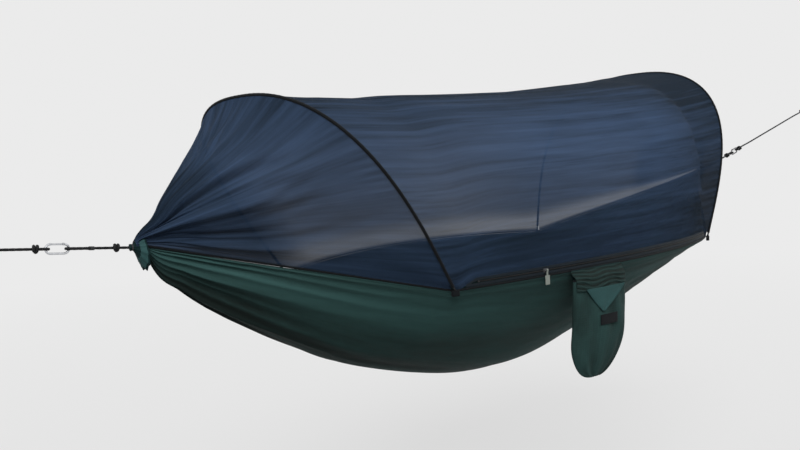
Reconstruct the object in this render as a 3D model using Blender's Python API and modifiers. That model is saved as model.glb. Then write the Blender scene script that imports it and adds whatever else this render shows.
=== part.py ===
"""A hanging hammock tent.

A gathered-end hammock hangs between two anchor ropes. Two sprung poles, sewn into sleeves, arch over its
opening and hold up a mosquito net. A zip runs along the near hem and a pouch hangs from it.

Frame: +X runs along the hammock from the left gather to the right one, -Y is the zip side, +Z is up.
The origin is where the left anchor loop bears on whatever it hangs from. All lengths are in metres.
"""

import math

import bmesh
import bpy
import numpy as np
from mathutils import Matrix, Vector

MM = 0.001
X = Vector((1, 0, 0))
Y = Vector((0, 1, 0))
Z = Vector((0, 0, 1))
LEFT = -1
RIGHT = 1
NEAR = -1
FAR = 1
END_NAME = {LEFT: "left", RIGHT: "right"}
SIDE_NAME = {NEAR: "near", FAR: "far"}

# Running clearance between pieces that touch, and the overrun of every cutter.
SEAT = 0.45 * MM
OVERRUN = 2 * MM
WELD = 0.01 * MM

# The hammock as it hangs
HALF_SPAN = 1.200
RIGHT_END_RISE = 0.028
GATHER_LENGTH = 0.030
CLOTH_END = HALF_SPAN - GATHER_LENGTH
KEEL_DEPTH = 0.473
keel_station_shares = (-0.8974, -0.7265, -0.4701, -0.1709, 0.1282, 0.4274, 0.7265, 0.8974)
keel_depth_shares = (0.3129, 0.5793, 0.8647, 1.0, 0.8372, 0.5455, 0.2706, 0.0951)
CLOTH = 2.0 * MM
SECTION_SHARPNESS = 1.0
COLUMNS = 26
OUTER_COLUMNS = 7
OUTER_SHARE = OUTER_COLUMNS / COLUMNS
OUTER_CROWDING = 1.35
ROWS = 22
FOLD_DEPTH = 0.011
FOLD_REACH = 0.17
FOLDS = 5

# The opening's hem: an arc between the hoops' feet, then a smooth run in to each gather
FOOT_REACH = 0.574
EDGE_MID_WIDTH = 0.477
EDGE_FOOT_INSET = 0.134
EDGE_FOOT_WIDTH = EDGE_MID_WIDTH - EDGE_FOOT_INSET
EDGE_FOOT_DROP = 0.162
EDGE_MID_RISE = 0.015
EDGE_MID_DROP = EDGE_FOOT_DROP - EDGE_MID_RISE
EDGE_TIP_SLOPE = -0.30
EDGE_TIP_WIDTH = 0.0105
HEM_RADIUS = 2.5 * MM
HEM_LAP = 0.8 * MM

# Hoops: alike, but each leans out by its own angle
HOOP_RISE = 0.582
HOOP_SQUARENESS = 2.44
HOOP_BULGE_SHARE = 0.295
HOOP_LEAN = {LEFT: math.radians(34.1), RIGHT: math.radians(16.7)}
HOOP_SEGMENTS = 28
HOOP_TABLE = 800
POLE_RADIUS = 2.5 * MM
POLE_PLAY = 0.35 * MM
SLEEVE_WALL = 1.1 * MM
SLEEVE_RADIUS = POLE_RADIUS + POLE_PLAY + SLEEVE_WALL
SLEEVE_LIFT = 0.012
FOOT_STANDOFF = HEM_RADIUS + SLEEVE_RADIUS + 2 * SEAT

# Poles' end caps and the pockets that hold them
CAP_RADIUS = 3.6 * MM
CAP_COLLAR = 3.3 * MM
POCKET_WALL = 1.1 * MM
POCKET_LONG = 0.020
POCKET_DROP = 0.012
POCKET_RIM = 2.0 * MM
POCKET_SOFTNESS = 1.0 * MM
WELL_FLARE = 0.5 * MM

# Mosquito net
NET = 1.2 * MM
RIDGE_SAG = 0.030
NET_RING_RADIUS = 0.0105
NET_RING_LIFT = 0.004
NET_RING_BACK = 0.010
EDGE_SPREAD = 3.0
HOOP_GRIP = 40.0
FOOT_GRIP_POWER = 4
SEAM = 0.4 * MM

# Zip on the near hem
ZIP_FOOT_GAP = 0.060
ZIP_HALF = FOOT_REACH - ZIP_FOOT_GAP
ZIP_TAPE = 7.0 * MM
ZIP_TAPE_THICK = 1.0 * MM
COIL_RADIUS = 2.4 * MM
STOP_LONG = 5.0 * MM
STOP_THICK = 4.4 * MM
STOP_SOFTNESS = 0.6 * MM
SLIDER_PLACE = -0.345
SLIDER_LONG = 0.014
SLIDER_WALL = 1.2 * MM
SLIDER_BRIDGE = 1.1 * MM
SLIDER_ARCH = 4.2 * MM
SLIDER_SOFTNESS = 0.5 * MM
PULL_LONG = 0.023
PULL_NECK_LONG = 0.010
PULL_NECK_WIDE = 0.0044
PULL_WIDE = 0.013
PULL_THICK = 2.2 * MM
PULL_EYE = 1.8 * MM
PULL_WALL = 1.1 * MM
PULL_BARREL = 4.6 * MM
PULL_SOFTNESS = 0.6 * MM
NET_DIP_LONG = 0.020
NET_DIP_TO = FOOT_REACH - NET_DIP_LONG * 0.45
NET_DIP_FROM = NET_DIP_TO - NET_DIP_LONG

# Gathered ends, ropes and carabiners
GATHER_TIP_RADIUS = 6.5 * MM
GATHER_RADIUS = 9.6 * MM
GATHER_RIB = 0.7 * MM
GATHER_RIBS = 4
ROPE_RADIUS = 3.0 * MM
ROPE_ANGLE = {LEFT: math.radians(5.8), RIGHT: math.radians(13.5)}
ROPE_STEP = 0.030
KNOT_TURNS = 1.5
KNOT_POINTS = 12
LEFT_KNOT_AT = 0.022
RIGHT_KNOT_AT = 0.186
LEFT_EYE_FROM = 0.078
RIGHT_EYE_FROM = 0.214
LEFT_EYE_LENGTH = 0.058
RIGHT_EYE_LENGTH = 0.028
KNOT_AT = {LEFT: LEFT_KNOT_AT, RIGHT: RIGHT_KNOT_AT}
EYE_FROM = {LEFT: LEFT_EYE_FROM, RIGHT: RIGHT_EYE_FROM}
EYE_LENGTH = {LEFT: LEFT_EYE_LENGTH, RIGHT: RIGHT_EYE_LENGTH}
LOOP_LEG_STEPS = 4
LOOP_BEND_STEPS = 6
ROPE_EYE_LENGTH = 0.016
ROPE_KNOT_OFF = 0.001
LEFT_ROPE_END = 0.300
RIGHT_ROPE_END = 0.940
ROPE_END = {LEFT: LEFT_ROPE_END, RIGHT: RIGHT_ROPE_END}
ANCHOR_LENGTH = 0.100
ANCHOR_BEND = 0.021

CARABINER_LENGTH = 0.052
CARABINER_WIDTH = 0.024
WIRE_RADIUS = 2.5 * MM
BEND_STEPS = 8
GATE_RADIUS = 2.1 * MM
GATE_GAP = 0.5 * MM
GATE_NOSE = 1.5 * MM
EAR_RADIUS = 2.8 * MM
EAR_LONG = 5.6 * MM
TANG_THICK = 2.0 * MM
TANG_RADIUS = 1.8 * MM
TANG_STEPS = 8
SLOT_RADIUS = 3.6 * MM
PIN_RADIUS = 0.8 * MM
PIN_PLAY = 0.3 * MM

# Pouch
POUCH_PLACE = -0.188
POUCH_HALF_WIDTH = 0.0885
POUCH_DROP = 0.252
POUCH_WALL = 1.4 * MM
POUCH_MOUTH = 8.0 * MM
POUCH_BELLY = 0.017
POUCH_TOE_SHIFT = -0.016
POUCH_ROUNDING = 0.8
POUCH_TUCK = 0.09
TAPER_FROM = 0.28
HEEL_FROM = 0.80
YOKE_DROP = 0.024
YOKE_THICK = 1.2 * MM
RIM_RADIUS = 1.6 * MM
FLAP_HALF_WIDTH = 0.074
FLAP_DROP = 0.080
FLAP_OFFSET = 0.010
PATCH_WIDE = 0.060
PATCH_HIGH = 0.026
PATCH_DROP = 0.118
PATCH_OFFSET = 0.010

ARC_RISE = math.hypot(EDGE_MID_WIDTH - EDGE_FOOT_WIDTH, EDGE_FOOT_DROP - EDGE_MID_DROP)
ARC_RADIUS = (FOOT_REACH**2 + ARC_RISE**2) / (2 * ARC_RISE)
EDGE_FOOT_SLOPE = -FOOT_REACH / math.sqrt(ARC_RADIUS**2 - FOOT_REACH**2)
TIP = {LEFT: Vector((-HALF_SPAN, 0, 0)), RIGHT: Vector((HALF_SPAN, 0, RIGHT_END_RISE))}
OUT = {end: Vector((end * math.cos(ROPE_ANGLE[end]), 0, math.sin(ROPE_ANGLE[end]))) for end in (LEFT, RIGHT)}
RISE = {end: Vector((-end * math.sin(ROPE_ANGLE[end]), 0, math.cos(ROPE_ANGLE[end]))) for end in (LEFT, RIGHT)}


def rope_place(end, reach):
    """The point on an end's rope line at this distance from the gather's tip."""
    return TIP[end] + OUT[end] * reach


HANG_POINT = rope_place(LEFT, ROPE_END[LEFT] + ANCHOR_LENGTH - ROPE_RADIUS)

# Scene, collections and the empty that every piece hangs under

for old in list(bpy.data.objects):
    bpy.data.objects.remove(old)

parts = bpy.data.collections.new("hammock_tent")
cutters = bpy.data.collections.new("cutters")
for group in (parts, cutters):
    bpy.context.scene.collection.children.link(group)


def empty(name, place, parent=None):
    """An empty at a point of its parent's frame, which the pieces that turn about it are parented to."""
    holder = bpy.data.objects.new(name, None)
    holder.location = place
    holder.parent = parent
    parts.objects.link(holder)
    return holder


hammock_frame = empty("hammock_frame", -HANG_POINT)


def look(name, colour, roughness, metallic=0.0):
    """A plain Principled material."""
    material = bpy.data.materials.new(name)
    material.use_nodes = True
    shader = material.node_tree.nodes["Principled BSDF"]
    shader.inputs["Base Color"].default_value = (*colour, 1)
    shader.inputs["Roughness"].default_value = roughness
    shader.inputs["Metallic"].default_value = metallic
    material.diffuse_color = (*colour, 1)
    return material


HAMMOCK_CLOTH = look("hammock_cloth", (0.022, 0.055, 0.047), 0.62)
NET_CLOTH = look("net_cloth", (0.035, 0.050, 0.075), 0.75)
BINDING = look("binding", (0.008, 0.010, 0.012), 0.70)
CORD = look("cord", (0.010, 0.010, 0.011), 0.80)
POLE = look("pole", (0.030, 0.032, 0.035), 0.35)
ALLOY = look("alloy", (0.62, 0.63, 0.65), 0.28, 1.0)
PLASTIC = look("plastic", (0.012, 0.012, 0.013), 0.45)
PULL_WHITE = look("pull_white", (0.62, 0.64, 0.62), 0.50)


# Helpers that put objects into the scene


def adopt(thing, material, holder, group=parts):
    """Puts an object in its collection, under its empty and in its material."""
    thing.parent = holder
    if holder is not hammock_frame and holder is not None:
        thing.matrix_parent_inverse = Matrix.Translation(-holder.location)
    if material:
        thing.data.materials.append(material)
    group.objects.link(thing)
    return thing


def object_of(name, mesh_builder, material, holder=hammock_frame, group=parts, smooth=True):
    """An object whose mesh is what is left in the builder's bmesh."""
    mesh = bpy.data.meshes.new(name)
    work = bmesh.new()
    mesh_builder(work)
    bmesh.ops.recalc_face_normals(work, faces=work.faces)
    work.to_mesh(mesh)
    work.free()
    if smooth:
        mesh.shade_smooth()
        mesh.set_sharp_from_angle(angle=math.radians(40))
    return adopt(bpy.data.objects.new(name, mesh), material, holder, group)


def shaped_grid(name, columns, rows, shape, thickness, material, holder=hammock_frame, closed=False):
    """A cloth sheet: a grid whose every point is placed by shape(u, v), then given its thickness."""

    def build(work):
        bmesh.ops.create_grid(work, x_segments=columns, y_segments=rows, size=0.5)
        for vertex in work.verts:
            vertex.co = shape(vertex.co.x + 0.5, vertex.co.y + 0.5)
        if closed:
            bmesh.ops.remove_doubles(work, verts=work.verts, dist=WELD)

    sheet = object_of(name, build, material, holder)
    wall = sheet.modifiers.new("wall", "SOLIDIFY")
    wall.thickness = thickness
    wall.offset = 0
    wall.use_even_offset = True
    return sheet


def tube(name, points, radius, material, holder=hammock_frame, sides=2, closed=False, wall=0.0):
    """A round rod, rope or, with a wall, a hollow sleeve along a line of points."""
    curve = bpy.data.curves.new(name, "CURVE")
    curve.dimensions = "3D"
    curve.bevel_depth = radius
    curve.bevel_resolution = sides
    curve.use_fill_caps = not closed and not wall
    line = curve.splines.new("POLY")
    line.points.add(len(points) - 1)
    for point, place in zip(line.points, points):
        point.co = (*place, 1)
    line.use_cyclic_u = closed
    line.use_smooth = True
    thing = adopt(bpy.data.objects.new(name, curve), material, holder)
    if wall:
        shell = thing.modifiers.new("wall", "SOLIDIFY")
        shell.thickness = wall
        shell.offset = -1
        shell.use_even_offset = True
    return thing


def turned(name, profile, place, axis, steps, material, holder=hammock_frame, group=parts):
    """A turned piece: a profile of (radius, height) that runs down its outer side, turned about axis."""

    def build(work):
        rail = [work.verts.new((radius, 0, height)) for radius, height in profile]
        for a, b in zip(rail, rail[1:]):
            work.edges.new((a, b))

    thing = object_of(name, build, material, holder, group, smooth=False)
    screw = thing.modifiers.new("turn", "SCREW")
    screw.steps = steps
    screw.render_steps = steps
    screw.use_merge_vertices = True
    screw.merge_threshold = WELD
    screw.use_smooth_shade = True
    screw.axis = "Z"
    baked = mesh_of(thing)
    turn = axis.to_track_quat("Z", "Y").to_matrix().to_4x4()
    baked.data.transform(Matrix.Translation(place) @ turn)
    return baked


def mesh_of(thing):
    """The same piece as a plain mesh with its modifiers applied and its caps welded."""
    bpy.context.view_layer.update()
    seen = thing.evaluated_get(bpy.context.evaluated_depsgraph_get())
    mesh = bpy.data.meshes.new_from_object(seen)
    work = bmesh.new()
    work.from_mesh(mesh)
    bmesh.ops.remove_doubles(work, verts=work.verts, dist=WELD)
    bmesh.ops.recalc_face_normals(work, faces=work.faces)
    work.to_mesh(mesh)
    work.free()
    name = thing.name
    holder = thing.parent
    group = thing.users_collection[0]
    bpy.data.objects.remove(thing)
    mesh.name = name
    plain = bpy.data.objects.new(name, mesh)
    plain.parent = holder
    if holder is not hammock_frame and holder is not None:
        plain.matrix_parent_inverse = Matrix.Translation(-holder.location)
    group.objects.link(plain)
    return plain


def block(name, size, place, turn, material, holder=hammock_frame, group=parts, softness=0.0):
    """A box with its own size, place and rotation, with its edges rounded if it has a softness."""

    def build(work):
        bmesh.ops.create_cube(work, size=1)
        bmesh.ops.scale(work, vec=size, verts=work.verts)
        if softness:
            bmesh.ops.bevel(work, geom=work.edges, offset=softness, segments=1, affect="EDGES", profile=0.5)
        bmesh.ops.transform(work, matrix=Matrix.Translation(place) @ turn.to_4x4(), verts=work.verts)

    return object_of(name, build, material, holder, group)


def rod(name, radius, length, place, axis, material, steps=16, holder=hammock_frame, group=parts):
    """A straight round rod centred on place."""

    def build(work):
        bmesh.ops.create_cone(
            work, cap_ends=True, segments=steps, radius1=radius, radius2=radius, depth=length
        )
        turn = axis.to_track_quat("Z", "Y").to_matrix().to_4x4()
        bmesh.ops.transform(work, matrix=Matrix.Translation(place) @ turn, verts=work.verts)

    return object_of(name, build, material, holder, group)


def joined(piece, tools, operation):
    """Joins tools to a piece or cuts them from it, and leaves the piece a plain mesh."""
    for tool in tools:
        cut = piece.modifiers.new(operation.lower(), "BOOLEAN")
        cut.object = tool
        cut.operation = operation
        cut.solver = "EXACT"
        piece = mesh_of(piece)
        bpy.data.objects.remove(tool)
    return piece


# The shapes that everything else follows


def arc_frame(side):
    """The centre of the hem's arc on this side, the direction out from it, and the arc's upward axis."""
    foot = Vector((0, side * EDGE_FOOT_WIDTH, -EDGE_FOOT_DROP))
    middle = Vector((0, side * EDGE_MID_WIDTH, -EDGE_MID_DROP))
    out = (middle - foot).normalized()
    return middle - out * ARC_RADIUS, out, X.cross(out) * side


def arc_point(side, x, lift=0.0, proud=0.0):
    """A point over the hem's arc, lifted along the arc's axis and standing proud of it."""
    centre, out, up = arc_frame(side)
    angle = math.asin(x / ARC_RADIUS)
    return centre + (X * math.sin(angle) + out * math.cos(angle)) * (ARC_RADIUS + proud) + up * lift


def edge(side, x):
    """The centre of the hem at this distance along the hammock."""
    x = max(-CLOTH_END, min(CLOTH_END, x))
    if abs(x) <= FOOT_REACH:
        return arc_point(side, x)
    run = CLOTH_END - FOOT_REACH
    u = (abs(x) - FOOT_REACH) / run
    width = (
        (2 * u**3 - 3 * u**2 + 1) * EDGE_FOOT_WIDTH
        + (u**3 - 2 * u**2 + u) * run * EDGE_FOOT_SLOPE
        + (3 * u**2 - 2 * u**3) * EDGE_TIP_WIDTH
        + (u**3 - u**2) * run * EDGE_TIP_SLOPE
    )
    tip = RIGHT_END_RISE if x > 0 else 0.0
    return Vector((x, side * width, -EDGE_FOOT_DROP + (tip + EDGE_FOOT_DROP) * u))


def station(u):
    """How far along the hammock its cloth's columns lie: even between the feet, closer at the gathers."""
    reach = CLOTH_END - SEAT
    if u > 0.5:
        return -station(1 - u)
    if u < OUTER_SHARE:
        return (reach - FOOT_REACH) * (u / OUTER_SHARE) ** OUTER_CROWDING - reach
    return FOOT_REACH * (u - 0.5) / (0.5 - OUTER_SHARE)


def keel_line():
    """The stations of the hammock's lowest line, its heights there and its slopes."""
    places = np.array((-1, *keel_station_shares, 1)) * CLOTH_END
    depths = [KEEL_DEPTH * share for share in keel_depth_shares]
    heights = -np.array((GATHER_RADIUS, *depths, GATHER_RADIUS - RIGHT_END_RISE))
    return places, heights, np.gradient(heights, places)


KEEL_PLACES, KEEL_HEIGHTS, KEEL_SLOPES = keel_line()


def keel(x):
    """The height of the hammock's lowest line, as a smooth curve through its stations."""
    k = int(min(max(np.searchsorted(KEEL_PLACES, x) - 1, 0), len(KEEL_PLACES) - 2))
    span = KEEL_PLACES[k + 1] - KEEL_PLACES[k]
    t = (x - KEEL_PLACES[k]) / span
    return float(
        (2 * t**3 - 3 * t**2 + 1) * KEEL_HEIGHTS[k]
        + (t**3 - 2 * t**2 + t) * span * KEEL_SLOPES[k]
        + (3 * t**2 - 2 * t**3) * KEEL_HEIGHTS[k + 1]
        + (t**3 - t**2) * span * KEEL_SLOPES[k + 1]
    )


def cloth_point(u, v):
    """A point of the hammock's cloth: u from the left gather to the right one, v from near to far hem."""
    x = station(u)
    swing = (v - 0.5) * math.pi
    hem = edge(FAR, x)
    top = hem.z - HEM_RADIUS - HEM_LAP
    depth = top - keel(x)
    y = hem.y * math.sin(swing)
    z = top - depth * max(0.0, math.cos(swing)) ** (2 / SECTION_SHARPNESS)
    near_tip = (CLOTH_END - abs(x)) / FOLD_REACH
    ramp = near_tip**2 * math.exp(2 * (1 - near_tip))
    fold = FOLD_DEPTH * ramp * math.cos(2 * math.pi * FOLDS * v) * max(0.0, math.cos(swing)) ** 1.5
    return Vector((x, y + fold * math.sin(swing), z - fold * math.cos(swing)))


def hoop_table():
    """Places around a hoop in its own plane, as (share of its length, across, up)."""
    swing = np.linspace(0, math.pi, HOOP_TABLE)
    power = 2 / HOOP_SQUARENESS
    across = -np.sign(np.cos(swing)) * np.abs(np.cos(swing)) ** power * (1 + HOOP_BULGE_SHARE * np.sin(swing))
    across *= hoop_half_width()
    up = HOOP_RISE * np.abs(np.sin(swing)) ** power
    share = np.concatenate([[0], np.cumsum(np.hypot(np.diff(across), np.diff(up)))])
    return share / share[-1], across, up


def foot_out():
    """The level direction square to the hem, outward and away from the middle, at the right far foot."""
    return Vector((-EDGE_FOOT_SLOPE, 1, 0)).normalized()


def hoop_half_width():
    """Half the distance between a hoop's feet."""
    return EDGE_FOOT_WIDTH + foot_out().y * FOOT_STANDOFF


def hoop_x():
    """How far along the hammock a hoop's feet are from the middle."""
    return FOOT_REACH + foot_out().x * FOOT_STANDOFF


HOOP_SHARES, HOOP_ACROSS, HOOP_UP = hoop_table()


def hoop_point(end, share):
    """A point on a hoop's centre line, by its share of the way from the near foot to the far foot."""
    across = float(np.interp(share, HOOP_SHARES, HOOP_ACROSS))
    up = float(np.interp(share, HOOP_SHARES, HOOP_UP))
    lean = HOOP_LEAN[end]
    return Vector((end * (hoop_x() + up * math.sin(lean)), across, up * math.cos(lean) - EDGE_FOOT_DROP))


def hoop_tangent(end, share):
    """The direction of a hoop's centre line."""
    step = 1 / HOOP_SEGMENTS / 4
    return (hoop_point(end, min(1, share + step)) - hoop_point(end, max(0, share - step))).normalized()


def net_share(v):
    """The share of the hoop that a net's row meets: all of it but the very feet."""
    lift = HEM_RADIUS + 2 * SEAT
    lowest = float(np.interp(lift, HOOP_UP[: HOOP_TABLE // 2], HOOP_SHARES[: HOOP_TABLE // 2]))
    return max(lowest, min(1 - lowest, v))


def sleeve_gap(end, share, towards):
    """How far a net stops short of a hoop's centre line so that it meets the sleeve."""
    slant = hoop_tangent(end, share).cross(towards.normalized()).length
    return (SLEEVE_RADIUS + SEAT) / slant


def zip_stack():
    """How far above the near hem's centre the net begins, where the zip lies between them."""
    return HEM_RADIUS + 2 * ZIP_TAPE + 2 * COIL_RADIUS + 4 * SEAT


def near_foot_of_net(x):
    """Where the net's near edge lies: over the zip, or over the bare hem past the zip's ends."""
    over_hem = edge(NEAR, x) + Z * (HEM_RADIUS + 2 * SEAT)
    if abs(x) >= NET_DIP_TO:
        return over_hem
    dip = max(0.0, (abs(x) - NET_DIP_FROM) / (NET_DIP_TO - NET_DIP_FROM))
    return arc_point(NEAR, x, lift=zip_stack()).lerp(over_hem, dip)


def far_foot_of_net(x):
    """Where the net's far edge lies."""
    return edge(FAR, x) + Z * (HEM_RADIUS + 2 * SEAT)


def drawn_to_edges(point, near_edge, far_edge, near_target, far_target, v, grip):
    """A net's point, moved so that the net's two long edges lie on the hems."""
    near_pull = ((1 + math.cos(math.pi * v)) / 2) ** grip
    far_pull = ((1 - math.cos(math.pi * v)) / 2) ** grip
    return point + (near_target - near_edge) * near_pull + (far_target - far_edge) * far_pull


def net_end_line(end, s, v):
    """A point on the straight line from the gather's ring to the hoop's sleeve."""
    share = net_share(v)
    on_hoop = hoop_point(end, share)
    swing = math.pi * v
    ring = TIP[end] + Vector(
        (
            -end * NET_RING_BACK,
            -NET_RING_RADIUS * math.cos(swing),
            NET_RING_LIFT + NET_RING_RADIUS * math.sin(swing),
        )
    )
    run = on_hoop - ring
    stop = 1 - sleeve_gap(end, share, run) / run.length
    return ring + run * (s * stop)


def net_end_point(end, u, v):
    """A point of an end net, which runs from the gather to its hoop."""
    s = u**1.5
    lift = Z * (HEM_RADIUS + 3 * SEAT)
    near_edge = net_end_line(end, s, 0)
    far_edge = net_end_line(end, s, 1)
    grip = EDGE_SPREAD + HOOP_GRIP * s ** (2 * FOOT_GRIP_POWER)
    return drawn_to_edges(
        net_end_line(end, s, v),
        near_edge,
        far_edge,
        level_with(near_edge, edge(NEAR, near_edge.x) + lift),
        level_with(far_edge, edge(FAR, far_edge.x) + lift),
        v,
        grip,
    )


def level_with(point, target):
    """The target's place across and up, at the point's place along the hammock."""
    return Vector((point.x, target.y, target.z))


def net_mid_line(end, s, v):
    """A point on the line between the two hoops, s running from the middle to this end's sleeve."""
    share = net_share(v)
    here = hoop_point(end, share)
    there = hoop_point(-end, share)
    run = there - here
    first = sleeve_gap(end, share, run) / run.length
    last = 0.5 - SEAM / 2 / run.length
    t = last + (first - last) * s
    slack = 4 * t * (1 - t)
    return here + run * t - Z * (RIDGE_SAG * slack * math.sin(math.pi * v)), slack


def net_mid_point(end, u, v):
    """A point of a half of the middle net, which runs from the middle to a hoop."""
    s = 1 - (1 - u) ** 1.5
    near_edge, slack = net_mid_line(end, s, 0)
    far_edge = net_mid_line(end, s, 1)[0]
    grip = EDGE_SPREAD + HOOP_GRIP * (1 - slack) ** FOOT_GRIP_POWER
    return drawn_to_edges(
        net_mid_line(end, s, v)[0],
        near_edge,
        far_edge,
        near_foot_of_net(near_edge.x),
        far_foot_of_net(far_edge.x),
        v,
        grip,
    )


# The hammock and its hems


def build_hammock():
    """The gathered cloth with its main folds, and a bound hem along each side of its opening."""
    shaped_grid("hammock_body", COLUMNS, ROWS, cloth_point, CLOTH, HAMMOCK_CLOTH)
    for side in (NEAR, FAR):
        line = [edge(side, station(k / COLUMNS / 2)) for k in range(2 * COLUMNS + 1)]
        tube("hem_" + SIDE_NAME[side], line, HEM_RADIUS, BINDING, sides=1)


def build_gather(end):
    """The bunched end tunnel of the cloth, which the strop goes through."""
    profile = [(0.0, GATHER_LENGTH)]
    rings = 2 * GATHER_RIBS
    for k in range(rings + 1):
        share = 1 - k / rings
        radius = GATHER_RADIUS + (GATHER_TIP_RADIUS - GATHER_RADIUS) * share
        profile.append((radius - GATHER_RIB * (k % 2), GATHER_LENGTH * share))
    profile.append((0.0, 0.0))
    base = TIP[end] - X * (end * GATHER_LENGTH)
    turned("gather_" + END_NAME[end], profile, base, X * end, 14, HAMMOCK_CLOTH)


# Ropes, loops and knots


def straight_rope(name, end, start, stop, material=CORD):
    """A straight run of rope on an end's line."""
    pieces = max(2, round((stop - start) / ROPE_STEP))
    line = [rope_place(end, start + (stop - start) * k / pieces) for k in range(pieces + 1)]
    tube(name, line, ROPE_RADIUS, material)


def rope_loop(name, end, neck, length, radius, direction=1):
    """An open loop of rope: ends side by side at its neck, straight legs and a round bight."""
    leg = ROPE_RADIUS + SEAT / 2
    centre = length - radius
    lean = math.asin(radius / math.hypot(centre, leg)) - math.atan2(leg, centre)
    half = [(0.0, leg)]
    first = (centre - radius * math.sin(lean), radius * math.cos(lean))
    for k in range(1, LOOP_LEG_STEPS):
        share = k / LOOP_LEG_STEPS
        half.append((first[0] * share, leg + (first[1] - leg) * share))
    for k in range(LOOP_BEND_STEPS + 1):
        swing = (math.pi / 2 + lean) * (1 - k / LOOP_BEND_STEPS)
        half.append((centre + radius * math.cos(swing), radius * math.sin(swing)))
    other = [(along, -across) for along, across in reversed(half[:-1])]
    base = rope_place(end, neck)
    line = [base + OUT[end] * (direction * along) + Y * across for along, across in half + other]
    tube(name, line, ROPE_RADIUS, CORD)


def knot(name, end, start):
    """A wrapped knot: turns of the rope's tail laid side by side round the rope."""
    ring = 2 * ROPE_RADIUS + SEAT
    pitch = 2 * ROPE_RADIUS + 2 * SEAT
    count = round(KNOT_TURNS * KNOT_POINTS)
    line = []
    for k in range(count + 1):
        turn = 2 * math.pi * k / KNOT_POINTS
        place = rope_place(end, start + ROPE_RADIUS + pitch * k / KNOT_POINTS)
        line.append(place + (Y * math.cos(turn) + RISE[end] * math.sin(turn)) * ring)
    tail = ROPE_RADIUS * 2
    line.append(line[-1] + (line[-1] - line[-2]).normalized() * tail)
    tube(name, line, ROPE_RADIUS, CORD, sides=1)
    least = least_gap(line, KNOT_POINTS // 2) - 2 * ROPE_RADIUS
    print(f"{name}: least gap between its turns {least / MM:.2f} mm")


def least_gap(line, apart):
    """The least distance between points of a line that are at least some points apart."""
    return min(
        (line[i] - line[j]).length for i in range(len(line)) for j in range(i + apart, len(line))
    )


def eye_bend():
    """The radius of a rope's bight that bears on a carabiner's wire."""
    return WIRE_RADIUS + ROPE_RADIUS + SEAT


def carabiner_start(end):
    """Where the carabiner's inner bend crosses the rope line: the strop's bight bears on it."""
    return EYE_FROM[end] + EYE_LENGTH[end] - eye_bend()


def build_rope_end(end):
    """Everything from the gather out to the anchor: strop, knots, eyes, carabiner and anchor loop."""
    name = END_NAME[end]
    straight_rope("strop_" + name, end, SEAT + ROPE_RADIUS * OUT[end].z, EYE_FROM[end] - SEAT)
    knot("strop_knot_" + name, end, KNOT_AT[end])
    rope_loop("strop_eye_" + name, end, EYE_FROM[end], EYE_LENGTH[end], eye_bend())
    build_carabiner(end, carabiner_start(end))
    bight = carabiner_start(end) + CARABINER_LENGTH - 2 * WIRE_RADIUS - eye_bend()
    neck = bight + ROPE_EYE_LENGTH
    rope_loop("rope_eye_" + name, end, neck, ROPE_EYE_LENGTH, eye_bend(), direction=-1)
    straight_rope("rope_" + name, end, neck + SEAT, ROPE_END[end] - SEAT)
    knot("rope_knot_" + name, end, neck + ROPE_KNOT_OFF)
    knot_long = (KNOT_TURNS + 1) * (2 * ROPE_RADIUS + 2 * SEAT)
    knot("anchor_knot_" + name, end, ROPE_END[end] - knot_long - ROPE_KNOT_OFF)
    rope_loop("anchor_loop_" + name, end, ROPE_END[end], ANCHOR_LENGTH, ANCHOR_BEND)


def carabiner_sizes():
    """Half its wire's centre width, and half of its straight side."""
    half_width = CARABINER_WIDTH / 2 - WIRE_RADIUS
    return half_width, CARABINER_LENGTH / 2 - WIRE_RADIUS - half_width


def carabiner_place(end, start, along, up):
    """A point of the carabiner's own frame: along from its middle outward, up across the rope line."""
    middle = start + CARABINER_LENGTH / 2 - WIRE_RADIUS
    return rope_place(end, middle + along) + RISE[end] * up


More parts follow.
